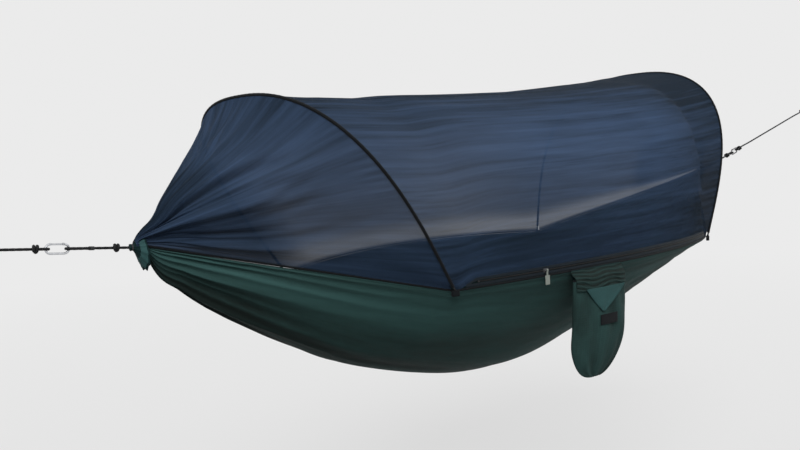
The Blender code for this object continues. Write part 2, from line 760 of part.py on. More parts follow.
def build_carabiner(end, start):
    """An oval wire carabiner with a slotted hinge end, a gate on a tang and the pin that it turns on."""
    name = END_NAME[end]
    half_width, half_straight = carabiner_sizes()
    hinge = GATE_NOSE - half_straight
    nose = half_straight - GATE_NOSE
    flat = [(hinge, half_width)]
    for k in range(BEND_STEPS + 1):
        turn = math.pi * k / BEND_STEPS
        flat.append((-half_straight - half_width * math.sin(turn), half_width * math.cos(turn)))
    for k in range(BEND_STEPS + 1):
        turn = math.pi * k / BEND_STEPS
        flat.append((half_straight + half_width * math.sin(turn), -half_width * math.cos(turn)))
    flat.append((nose, half_width))
    line = [carabiner_place(end, start, along, up) for along, up in flat]
    pivot = carabiner_place(end, start, hinge, half_width)
    turn = Matrix((OUT[end], Y, RISE[end])).transposed()

    body = mesh_of(tube("carabiner_" + name, line, WIRE_RADIUS, ALLOY))
    ears = rod("ears", EAR_RADIUS, EAR_LONG, pivot, Y, ALLOY, group=cutters)
    slot = rod("slot", SLOT_RADIUS, TANG_THICK + 2 * SEAT, pivot, Y, None, group=cutters)
    bore = rod("bore", PIN_RADIUS + PIN_PLAY, EAR_LONG + 2 * OVERRUN, pivot, Y, None, group=cutters)
    body = joined(body, [ears], "UNION")
    body = joined(body, [slot, bore], "DIFFERENCE")

    axis = empty("gate_axis_" + name, pivot, hammock_frame)
    first = EAR_RADIUS + 2 * SEAT
    last = nose - hinge - GATE_GAP
    middle = pivot + OUT[end] * ((first + last) / 2)
    gate = rod(
        "carabiner_gate_" + name, GATE_RADIUS, last - first, middle, OUT[end], ALLOY, steps=12, holder=axis
    )
    tang = tang_plate(first + GATE_RADIUS, pivot, turn)
    hole = rod("hole", PIN_RADIUS + PIN_PLAY, TANG_THICK + 2 * OVERRUN, pivot, Y, None, group=cutters)
    gate = joined(gate, [tang], "UNION")
    gate = joined(gate, [hole], "DIFFERENCE")
    rod("gate_pin_" + name, PIN_RADIUS, EAR_LONG, pivot, Y, ALLOY, steps=12)


def tang_plate(length, pivot, turn):
    """The gate's flat tang: a strip with a round end about the pivot."""

    def build(work):
        rim = [(length, -TANG_RADIUS), (length, TANG_RADIUS)]
        for k in range(TANG_STEPS + 1):
            swing = math.pi * k / TANG_STEPS
            rim.append((-TANG_RADIUS * math.sin(swing), TANG_RADIUS * math.cos(swing)))
        face = work.faces.new([work.verts.new((along, -TANG_THICK / 2, up)) for along, up in rim])
        wall = bmesh.ops.extrude_face_region(work, geom=[face])
        moved = [item for item in wall["geom"] if isinstance(item, bmesh.types.BMVert)]
        bmesh.ops.translate(work, vec=(0, TANG_THICK, 0), verts=moved)
        bmesh.ops.transform(work, matrix=Matrix.Translation(pivot) @ turn.to_4x4(), verts=work.verts)

    return object_of("tang", build, None, group=cutters)


# Hoops


def build_hoop(end):
    """A sprung pole in its sleeve, with an end cap on each foot, all turning on the feet."""
    name = END_NAME[end]
    feet = empty("hoop_feet_" + name, Vector((end * hoop_x(), 0, -EDGE_FOOT_DROP)), hammock_frame)
    line = [hoop_point(end, k / HOOP_SEGMENTS) for k in range(HOOP_SEGMENTS + 1)]
    starts = {NEAR: (line[0], (line[1] - line[0]).normalized())}
    starts[FAR] = (line[-1], (line[-2] - line[-1]).normalized())
    pole = list(line)
    pole[0] = starts[NEAR][0]
    pole[-1] = starts[FAR][0]
    tube("hoop_pole_" + name, pole, POLE_RADIUS, POLE, feet, sides=1)
    sleeve = list(line)
    sleeve[0] = starts[NEAR][0] + starts[NEAR][1] * SLEEVE_LIFT
    sleeve[-1] = starts[FAR][0] + starts[FAR][1] * SLEEVE_LIFT
    tube("hoop_sleeve_" + name, sleeve, SLEEVE_RADIUS, BINDING, feet, wall=SLEEVE_WALL)
    for side, (foot, axis) in starts.items():
        build_cap(f"pole_cap_{name}_{SIDE_NAME[side]}", foot, axis, feet)
        build_pocket(f"foot_pocket_{name}_{SIDE_NAME[side]}", end, side, foot, axis)


def build_cap(name, foot, axis, holder):
    """A moulded ball end whose blind socket takes the pole."""
    bore = POLE_RADIUS + POLE_PLAY
    collar_top = POCKET_RIM + CAP_RADIUS
    profile = [(0.0, -SEAT), (bore, -SEAT), (bore, collar_top), (CAP_COLLAR, collar_top)]
    for k in range(6):
        swing = math.radians(18) - k * math.radians(108) / 5
        profile.append((CAP_RADIUS * math.cos(swing), CAP_RADIUS * math.sin(swing)))
    profile[-1] = (0.0, -CAP_RADIUS)
    turned(name, profile, foot, axis, 10, PLASTIC, holder)


def build_pocket(name, end, side, foot, axis):
    """A stitched pocket beside the hem with a round-bottomed well that the cap turns in."""
    out = foot_out()
    out = Vector((out.x * end, out.y * side, 0))
    along = Vector((out.y, -out.x, 0))
    turn = Matrix((along, out, Z)).transposed()
    if turn.determinant() < 0:
        turn = Matrix((-along, out, Z)).transposed()
    inner = FOOT_STANDOFF - HEM_RADIUS - SEAT
    outer = CAP_RADIUS + SEAT + POCKET_WALL
    high = POCKET_DROP + POCKET_RIM
    place = foot + out * ((outer - inner) / 2) + Z * ((POCKET_RIM - POCKET_DROP) / 2)
    pocket = block(
        name, (POCKET_LONG, outer + inner, high), place, turn, BINDING, softness=POCKET_SOFTNESS
    )
    well_radius = CAP_RADIUS + SEAT
    top = POCKET_RIM + CAP_RADIUS + 2 * OVERRUN
    profile = [(0.0, top), (well_radius + WELL_FLARE, top)]
    for k in range(6):
        swing = -math.radians(90) * k / 5
        profile.append((well_radius * math.cos(swing), well_radius * math.sin(swing)))
    profile[-1] = (0.0, -well_radius)
    well = turned("well", profile, foot, axis, 16, None, group=cutters)
    joined(pocket, [well], "DIFFERENCE")


# The net


def build_net():
    """An end net at each gather, and the middle net as two halves that meet at mid length."""
    for end in (LEFT, RIGHT):
        name = END_NAME[end]
        shaped_grid(
            "net_end_" + name,
            8,
            HOOP_SEGMENTS,
            lambda u, v, end=end: net_end_point(end, u, v),
            NET,
            NET_CLOTH,
        )
        shaped_grid(
            "net_mid_" + name,
            7,
            HOOP_SEGMENTS,
            lambda u, v, end=end: net_mid_point(end, u, v),
            NET,
            NET_CLOTH,
        )


# The zip


def zip_ribbon(name, low):
    """A woven tape along the near hem, standing on its edge."""
    reach = ZIP_HALF
    shaped_grid(
        name,
        28,
        1,
        lambda u, v: arc_point(NEAR, reach * (2 * u - 1), lift=low + ZIP_TAPE * v),
        ZIP_TAPE_THICK,
        BINDING,
    )


def coil_height():
    """The coil's centre above the near hem's centre."""
    return HEM_RADIUS + ZIP_TAPE + COIL_RADIUS + 2 * SEAT


def zip_turn(x):
    """The rotation whose columns run along the zip, outward and up at this place."""
    centre, out, up = arc_frame(NEAR)
    angle = math.asin(x / ARC_RADIUS)
    outward = X * math.sin(angle) + out * math.cos(angle)
    along = outward.cross(up)
    return Matrix((along, outward, up)).transposed()


def build_zip():
    """Two tapes with the coil between them, a stop at each end, and the slider with its pull."""
    zip_ribbon("zip_tape_lower", HEM_RADIUS + SEAT)
    zip_ribbon("zip_tape_upper", coil_height() + COIL_RADIUS + SEAT)
    count = 30
    line = [arc_point(NEAR, ZIP_HALF * (2 * k / count - 1), lift=coil_height()) for k in range(count + 1)]
    tube("zip_coil", line, COIL_RADIUS, BINDING, sides=1)
    for end in (LEFT, RIGHT):
        x = end * (ZIP_HALF + SEAT + STOP_LONG / 2)
        block(
            "zip_stop_" + END_NAME[end],
            (STOP_LONG, STOP_THICK, 2 * COIL_RADIUS),
            arc_point(NEAR, x, lift=coil_height()),
            zip_turn(x),
            PLASTIC,
            softness=STOP_SOFTNESS,
        )
    build_slider()


def build_slider():
    """A slider that straddles the coil, with a bridge that carries a hanging pull."""
    centre = arc_frame(NEAR)[0]
    axis = empty("zip_axis", centre, hammock_frame)
    turn = zip_turn(SLIDER_PLACE)
    place = arc_point(NEAR, SLIDER_PLACE, lift=coil_height())
    inner = COIL_RADIUS + 2 * SEAT
    outer = inner + SLIDER_WALL
    face = ZIP_TAPE_THICK / 2 + SEAT
    deep = outer - face
    body = block(
        "zip_slider",
        (SLIDER_LONG, deep, 2 * outer),
        place + turn @ Vector((0, face + deep / 2, 0)),
        turn,
        ALLOY,
        holder=axis,
        softness=SLIDER_SOFTNESS,
    )
    channel = block(
        "channel",
        (SLIDER_LONG + 2 * OVERRUN, 2 * inner, 2 * inner),
        place,
        turn,
        None,
        group=cutters,
    )
    body = joined(body, [channel], "DIFFERENCE")
    half = SLIDER_LONG / 3
    foot = outer - SLIDER_BRIDGE / 2
    arch = [
        Vector((-half, foot, 0)),
        Vector((-half, outer + SLIDER_ARCH * 0.7, 0)),
        Vector((-half * 0.7, outer + SLIDER_ARCH, 0)),
        Vector((half * 0.7, outer + SLIDER_ARCH, 0)),
        Vector((half, outer + SLIDER_ARCH * 0.7, 0)),
        Vector((half, foot, 0)),
    ]
    bridge = mesh_of(tube("bridge", [place + turn @ point for point in arch], SLIDER_BRIDGE, None))
    joined(body, [bridge], "UNION")
    build_pull(place + turn @ Vector((0, outer + SLIDER_ARCH, 0)), turn)


def build_pull(bar, turn):
    """The pull: a flat tab under a barrel that hangs on the slider's bridge bar."""
    holder = empty("pull_axis", bar, hammock_frame)
    slack = PULL_EYE - SLIDER_BRIDGE - SEAT
    along = turn.col[0]
    hang = Matrix((along, Z.cross(along).normalized(), Z)).transposed()
    eye = bar - Z * slack
    barrel = PULL_EYE + PULL_WALL
    neck_top = PULL_EYE + PULL_WALL / 2
    tab = block(
        "zip_pull",
        (PULL_WIDE, PULL_THICK, PULL_LONG),
        eye - Z * (neck_top + PULL_NECK_LONG + PULL_LONG / 2),
        hang,
        PULL_WHITE,
        holder=holder,
        softness=PULL_SOFTNESS,
    )
    neck = block(
        "neck",
        (PULL_NECK_WIDE, PULL_THICK * 0.8, PULL_NECK_LONG + 2 * OVERRUN),
        eye - Z * (neck_top + (PULL_NECK_LONG + 2 * OVERRUN) / 2),
        hang,
        None,
        group=cutters,
    )
    roll = rod("barrel", barrel, PULL_BARREL, eye, along, None, group=cutters)
    hole = rod("hole", PULL_EYE, PULL_BARREL + 2 * OVERRUN, eye, along, None, group=cutters)
    tab = joined(tab, [neck, roll], "UNION")
    joined(tab, [hole], "DIFFERENCE")


# The pouch


def pouch_section(q):
    """The bag's section at a share of its depth: half its width, its middle and half its thickness."""
    q = max(0.0, min(1.0, q))
    taper = max(0.0, (q - TAPER_FROM) / (1 - TAPER_FROM))
    heel = max(0.0, (q - HEEL_FROM) / (1 - HEEL_FROM))
    right = (1 - taper**2.0) ** (1 / 1.4)
    left = -((1 - heel**3.0) ** (1 / 2.0))
    half = POUCH_HALF_WIDTH * (right - left) / 2
    middle = POUCH_HALF_WIDTH * (right + left) / 2 + POUCH_TOE_SHIFT * q**3
    belly = POUCH_BELLY * max(0.0, math.sin(math.pi * q)) ** 0.8
    return half, middle, (POUCH_MOUTH + belly) * math.sqrt(1 - q**6)


def pouch_frame(x, drop, proud):
    """A point of the pouch's own hanging frame: along the hem, down from it and out from it."""
    base = arc_point(NEAR, POUCH_PLACE)
    turn = zip_turn(POUCH_PLACE)
    level_out = Vector((turn.col[1].x, turn.col[1].y, 0)).normalized()
    along = Vector((-level_out.y, level_out.x, 0))
    if along.x < 0:
        along = -along
    return base + along * x + level_out * (proud - pouch_tuck(drop)) - Z * drop


def pouch_point(around, q):
    """A point of the bag's skin: around its section, and down from its mouth to its toe."""
    half, middle, thick = pouch_section(q)
    across, out = pouch_round(2 * math.pi * around)
    return pouch_frame(
        middle + half * across,
        pouch_top() + POUCH_DROP * q,
        pouch_standoff() + thick * out,
    )


def pouch_tuck(drop):
    """How far the bag leans in under the hem at this depth, so that it hangs plumb."""
    return POUCH_TUCK * max(0.0, drop - YOKE_DROP)


def pouch_round(swing):
    """A point of the bag's rounded section, as shares of its half width and half thickness."""
    across = -math.copysign(abs(math.cos(swing)) ** POUCH_ROUNDING, math.cos(swing))
    return across, math.copysign(abs(math.sin(swing)) ** POUCH_ROUNDING, math.sin(swing))


def pouch_top():
    """How far below the hem the bag's cloth starts, under its bound mouth."""
    return YOKE_DROP + 2 * RIM_RADIUS + 2 * SEAT


def pouch_standoff():
    """How far the bag's middle hangs outside the hem's centre."""
    return HEM_RADIUS + SEAT + YOKE_THICK + POUCH_MOUTH


def build_pouch():
    """The open-topped bag, the yoke that hangs it, its bound mouth, its flap and a bare patch."""
    hinge = empty("pouch_hem_line", pouch_frame(0, 0, HEM_RADIUS), hammock_frame)
    shaped_grid("pouch_bag", 18, 11, pouch_point, POUCH_WALL, HAMMOCK_CLOTH, hinge, closed=True)
    build_yoke(hinge)
    build_rim(hinge)
    build_flap(hinge)
    build_patch(hinge)


def build_yoke(hinge):
    """The strip sewn to the outside of the hem that carries the bag's back."""
    proud = HEM_RADIUS + SEAT + YOKE_THICK / 2

    def shape(u, v):
        x = POUCH_PLACE + POUCH_HALF_WIDTH * 0.94 * (2 * u - 1)
        follow = arc_point(NEAR, x, proud=proud) - arc_point(NEAR, POUCH_PLACE)
        hang = pouch_frame(POUCH_HALF_WIDTH * 0.94 * (2 * u - 1), YOKE_DROP, proud)
        return (arc_point(NEAR, POUCH_PLACE) + follow).lerp(hang, v)

    shaped_grid("pouch_yoke", 10, 2, shape, YOKE_THICK, HAMMOCK_CLOTH, hinge)


def build_rim(hinge):
    """The bound edge round the bag's mouth."""
    count = 24
    line = []
    for k in range(count):
        across, out = pouch_round(2 * math.pi * k / count)
        line.append(
            pouch_frame(
                POUCH_HALF_WIDTH * across,
                YOKE_DROP + SEAT + RIM_RADIUS,
                pouch_standoff() + POUCH_MOUTH * out,
            )
        )
    tube("pouch_rim", line, RIM_RADIUS, BINDING, hinge, sides=1, closed=True)


def front_of_bag(x, drop, off):
    """A point in front of the bag's outer face, standing off it by a little."""
    half, middle, thick = pouch_section((drop - pouch_top()) / POUCH_DROP)
    across = max(-1.0, min(1.0, (x - middle) / half))
    bulge = (1 - abs(across) ** (2 / POUCH_ROUNDING)) ** (POUCH_ROUNDING / 2)
    return pouch_frame(x, drop, pouch_standoff() + thick * bulge + off)


def build_flap(hinge):
    """A three-cornered flap that falls over the front of the mouth."""
    off = POUCH_WALL / 2 + RIM_RADIUS + 2 * SEAT
    top = YOKE_DROP + 2 * SEAT

    def shape(u, v):
        half = FLAP_HALF_WIDTH * (1 - 0.85 * v)
        x = FLAP_OFFSET * (1 - 0.2 * v) + half * (2 * u - 1)
        drop = top + FLAP_DROP * v
        below = max(drop, pouch_top())
        return front_of_bag(x, below, off) + Z * (below - drop)

    shaped_grid("pouch_flap", 8, 6, shape, POUCH_WALL, HAMMOCK_CLOTH, hinge)


def build_patch(hinge):
    """A bare rectangular patch sewn on the bag's front."""
    off = POUCH_WALL + 2 * SEAT

    def shape(u, v):
        x = PATCH_OFFSET + PATCH_WIDE * (u - 0.5)
        return front_of_bag(x, PATCH_DROP + PATCH_HIGH * v, off)

    shaped_grid("pouch_patch", 6, 3, shape, POUCH_WALL, BINDING, hinge)


def main():
    """Builds the pieces in the order in which they are sewn and tied together."""
    build_hammock()
    for end in (LEFT, RIGHT):
        build_gather(end)
        build_rope_end(end)
        build_hoop(end)
    build_net()
    build_zip()
    build_pouch()


main()
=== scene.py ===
"""The looks of a hammock tent: a gathered cloth hammock under a hooped net, with rope ends and a pouch."""

import logging
import math
from dataclasses import dataclass
from enum import Enum
from typing import Callable, Sequence

import bmesh
import bpy
import numpy as np
from bpy.types import Material, Node, NodeSocket, NodeTree, Object
from mathutils import Matrix, Vector, noise


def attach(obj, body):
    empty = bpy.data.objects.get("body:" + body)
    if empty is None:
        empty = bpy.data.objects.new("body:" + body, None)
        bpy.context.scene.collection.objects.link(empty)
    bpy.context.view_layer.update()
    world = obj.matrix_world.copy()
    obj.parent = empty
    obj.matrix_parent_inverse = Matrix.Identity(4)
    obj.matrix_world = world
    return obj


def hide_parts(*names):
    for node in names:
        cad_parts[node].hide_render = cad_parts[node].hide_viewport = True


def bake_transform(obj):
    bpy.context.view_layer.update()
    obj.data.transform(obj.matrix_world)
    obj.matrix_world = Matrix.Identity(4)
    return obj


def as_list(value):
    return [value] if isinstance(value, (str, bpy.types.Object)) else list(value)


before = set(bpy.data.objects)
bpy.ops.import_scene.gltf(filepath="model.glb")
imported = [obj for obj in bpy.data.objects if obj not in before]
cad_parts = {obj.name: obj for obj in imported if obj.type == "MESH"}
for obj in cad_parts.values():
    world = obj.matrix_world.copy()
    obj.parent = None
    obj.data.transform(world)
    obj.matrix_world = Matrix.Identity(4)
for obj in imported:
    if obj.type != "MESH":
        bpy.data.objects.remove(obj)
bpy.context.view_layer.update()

log = logging.getLogger("hammock_tent")

MM = 0.001
TURN = 2 * math.pi
ORIGIN = np.array((1.594968, 0.0, -0.040119))
SEAT = 0.45 * MM
Array = np.ndarray
Pair = tuple[float, float]
Triple = tuple[float, float, float]


class Named(Enum):
    """A choice whose name is part of the names of pieces."""

    @property
    def word(self) -> str:
        """The name as the solids write it."""
        return self.name.lower()


class End(Named):
    """The two ends of the hammock, by the sign of their direction along it."""

    LEFT = -1
    RIGHT = 1


class Side(Named):
    """The two long sides, by the sign of their direction across the hammock."""

    NEAR = -1
    FAR = 1


class Hold(Enum):
    """How a sheet of cloth is held up."""

    GATHERED = "gathered"
    STRETCHED = "stretched"


# Finishes


class Nodes:
    """A material's node tree, with short calls for the nodes that the finishes share."""

    def __init__(self, name: str) -> None:
        """Starts a material with a Principled shader.

        Args:
            name: the material's name.
        """
        self.material = bpy.data.materials.new(name)
        self.material.use_nodes = True
        self.tree = self.material.node_tree
        self.shader = self.tree.nodes["Principled BSDF"]

    def add(self, kind: str, links: dict | None = None, **values: object) -> Node:
        """Adds a node, sets its properties and joins its inputs.

        Args:
            kind: the node's type.
            links: input name or number to a socket, or to a plain value.
            values: the node's own properties.

        Returns:
            The new node.
        """
        node = self.tree.nodes.new(kind)
        for key, value in values.items():
            setattr(node, key, value)
        for key, value in (links or {}).items():
            if isinstance(value, NodeSocket):
                self.tree.links.new(value, node.inputs[key])
            else:
                node.inputs[key].default_value = value
        return node

    def place(self, uv: str | None = None) -> NodeSocket:
        """The place that a pattern reads: a UV map, or the piece's own coordinates."""
        if uv:
            return self.add("ShaderNodeUVMap", uv_map=uv).outputs["UV"]
        return self.add("ShaderNodeTexCoord").outputs["Object"]

    def stretched(self, place: NodeSocket, scale: Sequence[float]) -> NodeSocket:
        """A place scaled differently along each axis."""
        return self.add("ShaderNodeMapping", {"Vector": place, "Scale": tuple(scale)}).outputs["Vector"]

    def clouds(
        self, place: NodeSocket, scale: float, detail: float = 3.0, rough: float = 0.55
    ) -> NodeSocket:
        """Soft noise from 0 to 1."""
        links = {"Vector": place, "Scale": scale, "Detail": detail, "Roughness": rough}
        return self.add("ShaderNodeTexNoise", links).outputs["Fac"]

    def marked(self, name: str) -> NodeSocket:
        """The value that the piece itself is marked with, under this name."""
        return self.add("ShaderNodeAttribute", attribute_name=name).outputs["Fac"]

    def math(self, operation: str, first: object, second: object = 0.0) -> NodeSocket:
        """One step of arithmetic on sockets or numbers."""
        return self.add("ShaderNodeMath", {0: first, 1: second}, operation=operation).outputs[0]

    def sine(self, turn: NodeSocket) -> NodeSocket:
        """A sine wave of a turn in radians, from 0 to 1."""
        links = {0: self.math("SINE", turn), 1: 0.5, 2: 0.5}
        return self.add("ShaderNodeMath", links, operation="MULTIPLY_ADD").outputs[0]

    def ranged(self, value: NodeSocket, low: float, high: float) -> NodeSocket:
        """A value from 0 to 1 mapped to run from low to high."""
        links = {"Value": value, "To Min": low, "To Max": high}
        return self.add("ShaderNodeMapRange", links).outputs["Result"]

    def blend(self, share: NodeSocket, first: Sequence[float], second: Sequence[float]) -> NodeSocket:
        """A colour between two colours.

        Args:
            share: 0 for the first colour, 1 for the second.
            first: a colour or a socket.
            second: a colour or a socket.

        Returns:
            The socket of the mixed colour.
        """
        node = self.add("ShaderNodeMix", {"Factor": share}, data_type="RGBA")
        for socket, colour in ((node.inputs[6], first), (node.inputs[7], second)):
            if isinstance(colour, NodeSocket):
                self.tree.links.new(colour, socket)
            else:
                socket.default_value = (*colour, 1.0)
        return node.outputs[2]

    def wave(self, place: NodeSocket, axis: str, pitch: float) -> NodeSocket:
        """Straight threads of the given pitch along an axis, from 0 to 1."""
        split = self.add("ShaderNodeSeparateXYZ", {0: place}).outputs[axis]
        return self.sine(self.math("MULTIPLY", split, TURN / pitch))

    def relief(self, height: NodeSocket, depth: float, strength: float = 1.0) -> None:
        """Raises the surface by a height from 0 to 1 times a depth in metres."""
        bump = self.add("ShaderNodeBump", {"Height": height, "Distance": depth, "Strength": strength})
        self.tree.links.new(bump.outputs["Normal"], self.shader.inputs["Normal"])

    def feed(self, name: str, value: object) -> None:
        """Gives the shader's input a socket or a plain value.

        Args:
            name: The input's name.
            value: A socket, a number or a colour.
        """
        if isinstance(value, NodeSocket):
            self.tree.links.new(value, self.shader.inputs[name])
        elif isinstance(value, tuple):
            self.shader.inputs[name].default_value = (*value, 1.0)
        else:
            self.shader.inputs[name].default_value = value


@dataclass(frozen=True)
class Finish:
    """A finish whose pattern runs between two colours."""

    name: str
    dark: Triple
    light: Triple

    def dress(self, n: Nodes) -> None:
        """Joins the material's nodes, which each finish does in its own way."""
        raise NotImplementedError

    def material(self) -> Material:
        """Builds the material.

        Returns:
            The finished material.
        """
        n = Nodes(self.name)
        self.dress(n)
        return n.material


@dataclass(frozen=True)
class RipstopFinish(Finish):
    """Light woven nylon with a square reinforcing grid, read from the piece's flat map and its marked tone,
    which is painted light and shade.
    """

    grid: float = 6.0 * MM
    thread: float = 0.9 * MM
    rib_width: float = 0.45
    rib_tone: float = 0.10
    mottle_scale: Triple = (3.0, 9.0, 1.0)
    wear_scale: Triple = (40.0, 90.0, 1.0)
    pucker_scale: Triple = (14.0, 60.0, 1.0)
    roughness: float = 0.60
    sheen: float = 0.02
    specular: float = 0.04
    crease: float = 0.5 * MM

    def dress(self, n: Nodes) -> None:
        """Joins the material's nodes.

        Args:
            n: The material's nodes, with its shader.
        """
        flat = n.place("flat")
        mottle = n.clouds(n.stretched(flat, self.mottle_scale), 1.0, 4.0, 0.6)
        warp = n.wave(flat, "X", self.thread)
        weft = n.wave(flat, "Y", self.thread)
        cloth = n.math("MULTIPLY", n.math("ADD", warp, weft), 0.5)
        ribs = []
        for axis in ("X", "Y"):
            split = n.add("ShaderNodeSeparateXYZ", {0: flat}).outputs[axis]
            away = n.math("PINGPONG", split, self.grid / 2)
            ribs.append(n.math("LESS_THAN", away, self.thread * self.rib_width))
        rib = n.math("MAXIMUM", ribs[0], ribs[1])
        wear = n.clouds(n.stretched(flat, self.wear_scale), 1.0, 2.0)
        share = n.math("ADD", n.ranged(mottle, -0.10, 0.86), n.math("MULTIPLY", rib, self.rib_tone))
        # The marked tone adds painted light and shade to the colour.
        share = n.math("ADD", share, n.marked("tone"))
        share = n.math("ADD", share, n.ranged(wear, -0.12, 0.12))
        share = n.math("ADD", share, n.ranged(cloth, -0.08, 0.08))
        n.feed("Base Color", n.blend(share, self.dark, self.light))
        n.feed("Roughness", n.ranged(wear, self.roughness - 0.07, self.roughness + 0.10))
        n.feed("Sheen Weight", self.sheen)
        n.feed("Sheen Roughness", 0.45)
        n.feed("Specular IOR Level", self.specular)
        fine = n.math("MULTIPLY", n.math("ADD", cloth, n.math("MULTIPLY", rib, 1.5)), 0.22)
        puckers = n.clouds(n.stretched(flat, self.pucker_scale), 1.0, 3.0, 0.6)
        n.relief(n.math("ADD", fine, puckers), self.crease)


@dataclass(frozen=True)
class NetFinish(Finish):
    """Fine insect net: a see-through grid of threads, whose cover and tone the piece itself marks; the tone
    is painted light and shade.
    """

    pitch: float = 1.7 * MM
    streak_scale: Triple = (1.6, 30.0, 1.0)
    patch_scale: Triple = (2.2, 3.0, 1.0)
    roughness: float = 0.75
    relief: float = 0.25 * MM

    def dress(self, n: Nodes) -> None:
        """Joins the material's nodes.

        Args:
            n: The material's nodes, with its shader.
        """
        flat = n.place("flat")
        warp = n.wave(flat, "X", self.pitch)
        weft = n.wave(flat, "Y", self.pitch)
        threads = n.math("MAXIMUM", n.math("POWER", warp, 2.0), n.math("POWER", weft, 2.0))
        streaks = n.clouds(n.stretched(flat, self.streak_scale), 1.0, 4.0, 0.62)
        patches = n.clouds(n.stretched(flat, self.patch_scale), 1.0, 2.0)
        marks = n.math("ADD", n.ranged(streaks, -0.75, 0.75), n.ranged(patches, -0.25, 0.25))
        # The marked tone adds painted light and shade to the colour.
        n.feed("Base Color", n.blend(n.math("ADD", n.marked("tone"), marks), self.dark, self.light))
        mesh = n.math("ADD", n.ranged(threads, -0.07, 0.05), n.ranged(streaks, 0.03, -0.03))
        n.feed("Alpha", n.math("MINIMUM", n.math("ADD", n.marked("cover"), mesh), 1.0))
        n.feed("Roughness", self.roughness)
        n.feed("Sheen Weight", 0.01)
        n.feed("Specular IOR Level", 0.02)
        n.relief(n.math("ADD", threads, n.math("MULTIPLY", streaks, 4.0)), self.relief)
        n.material.surface_render_method = "DITHERED"


@dataclass(frozen=True)
class WebFinish(Finish):
    """Woven tape or binding with ribs across it, read from the piece's own flat map."""

    rib: float = 1.4 * MM
    fuzz_scale: Triple = (60.0, 220.0, 1.0)
    roughness: float = 0.66
    relief: float = 0.22 * MM

    def dress(self, n: Nodes) -> None:
        """Joins the material's nodes.

        Args:
            n: The material's nodes, with its shader.
        """
        flat = n.place("flat")
        ribs = n.wave(flat, "X", self.rib)
        ends = n.wave(flat, "Y", self.rib * 0.7)
        weave = n.math("MULTIPLY", n.math("ADD", ribs, ends), 0.5)
        fuzz = n.clouds(n.stretched(flat, self.fuzz_scale), 1.0, 3.0)
        share = n.math("ADD", n.ranged(weave, -0.1, 0.6), n.ranged(fuzz, -0.2, 0.4))
        n.feed("Base Color", n.blend(share, self.dark, self.light))
        n.feed("Roughness", n.ranged(fuzz, self.roughness - 0.08, self.roughness + 0.12))
        n.feed("Sheen Weight", 0.03)
        n.feed("Specular IOR Level", 0.10)
        n.relief(n.math("ADD", weave, n.math("MULTIPLY", fuzz, 0.6)), self.relief)


@dataclass(frozen=True)
class CordFinish(Finish):
    """Braided cord with flecks in its sheath, read from the cord's own map of length and turn."""

    fleck: Triple = (0.10, 0.11, 0.11)
    fleck_size: float = 0.16
    fleck_scale: Triple = (110.0, 260.0, 1.0)
    fuzz_scale: Triple = (500.0, 500.0, 1.0)
    yarn: float = 0.5 * MM
    roughness: float = 0.62
    relief: float = 0.12 * MM

    def dress(self, n: Nodes) -> None:
        """Joins the material's nodes.

        Args:
            n: The material's nodes, with its shader.
        """
        flat = n.place("flat")
        split = n.add("ShaderNodeSeparateXYZ", {0: flat})
        lean = n.math("ADD", split.outputs["X"], split.outputs["Y"])
        yarn = n.sine(n.math("MULTIPLY", lean, TURN / self.yarn))
        fuzz = n.clouds(n.stretched(flat, self.fuzz_scale), 1.0, 3.0)
        share = n.math("ADD", n.ranged(yarn, 0.0, 0.6), n.ranged(fuzz, -0.2, 0.5))
        tone = n.blend(share, self.dark, self.light)
        links = {"Vector": n.stretched(flat, self.fleck_scale), "Scale": 1.0}
        spots = n.add("ShaderNodeTexVoronoi", links)
        tracer = n.math("LESS_THAN", spots.outputs["Distance"], self.fleck_size)
        n.feed("Base Color", n.blend(tracer, tone, self.fleck))
        n.feed("Roughness", self.roughness)
        n.feed("Sheen Weight", 0.05)
        n.feed("Specular IOR Level", 0.15)
        n.relief(n.math("ADD", yarn, fuzz), self.relief)


@dataclass(frozen=True)
class AlloyFinish(Finish):
    """Tumbled aluminium with faint drawing lines and small rubs."""

    roughness: float = 0.30
    line_scale: Triple = (90.0, 900.0, 900.0)
    relief: float = 0.04 * MM

    def dress(self, n: Nodes) -> None:
        """Joins the material's nodes.

        Args:
            n: The material's nodes, with its shader.
        """
        place = n.place()
        lines = n.clouds(n.stretched(place, self.line_scale), 1.0, 4.0, 0.7)
        rubs = n.clouds(place, 160.0, 5.0, 0.65)
        n.feed("Base Color", n.blend(n.ranged(rubs, -0.3, 1.0), self.dark, self.light))
        n.feed("Metallic", 1.0)
        drawn = n.ranged(lines, self.roughness - 0.08, self.roughness + 0.08)
        n.feed("Roughness", n.math("ADD", drawn, n.ranged(rubs, -0.05, 0.12)))
        n.relief(n.math("ADD", lines, rubs), self.relief)


@dataclass(frozen=True)
class MouldedFinish(Finish):
    """Moulded plastic or a coated pole: fine grain, soft gloss and slight handling marks."""

    roughness: float = 0.42
    coat: float = 0.0
    gloss: float = 0.35
    mark_scale: Triple = (120.0, 60.0, 60.0)
    grain: float = 1800.0
    relief: float = 0.03 * MM

    def dress(self, n: Nodes) -> None:
        """Joins the material's nodes.

        Args:
            n: The material's nodes, with its shader.
        """
        place = n.place()
        grain = n.clouds(place, self.grain, 2.0)
        marks = n.clouds(n.stretched(place, self.mark_scale), 1.0, 5.0, 0.7)
        n.feed("Base Color", n.blend(n.ranged(marks, -0.4, 1.0), self.dark, self.light))
        n.feed("Roughness", n.ranged(marks, self.roughness - 0.08, self.roughness + 0.14))
        n.feed("Coat Weight", self.coat)
        n.feed("Specular IOR Level", self.gloss)
        n.relief(n.math("ADD", grain, marks), self.relief)


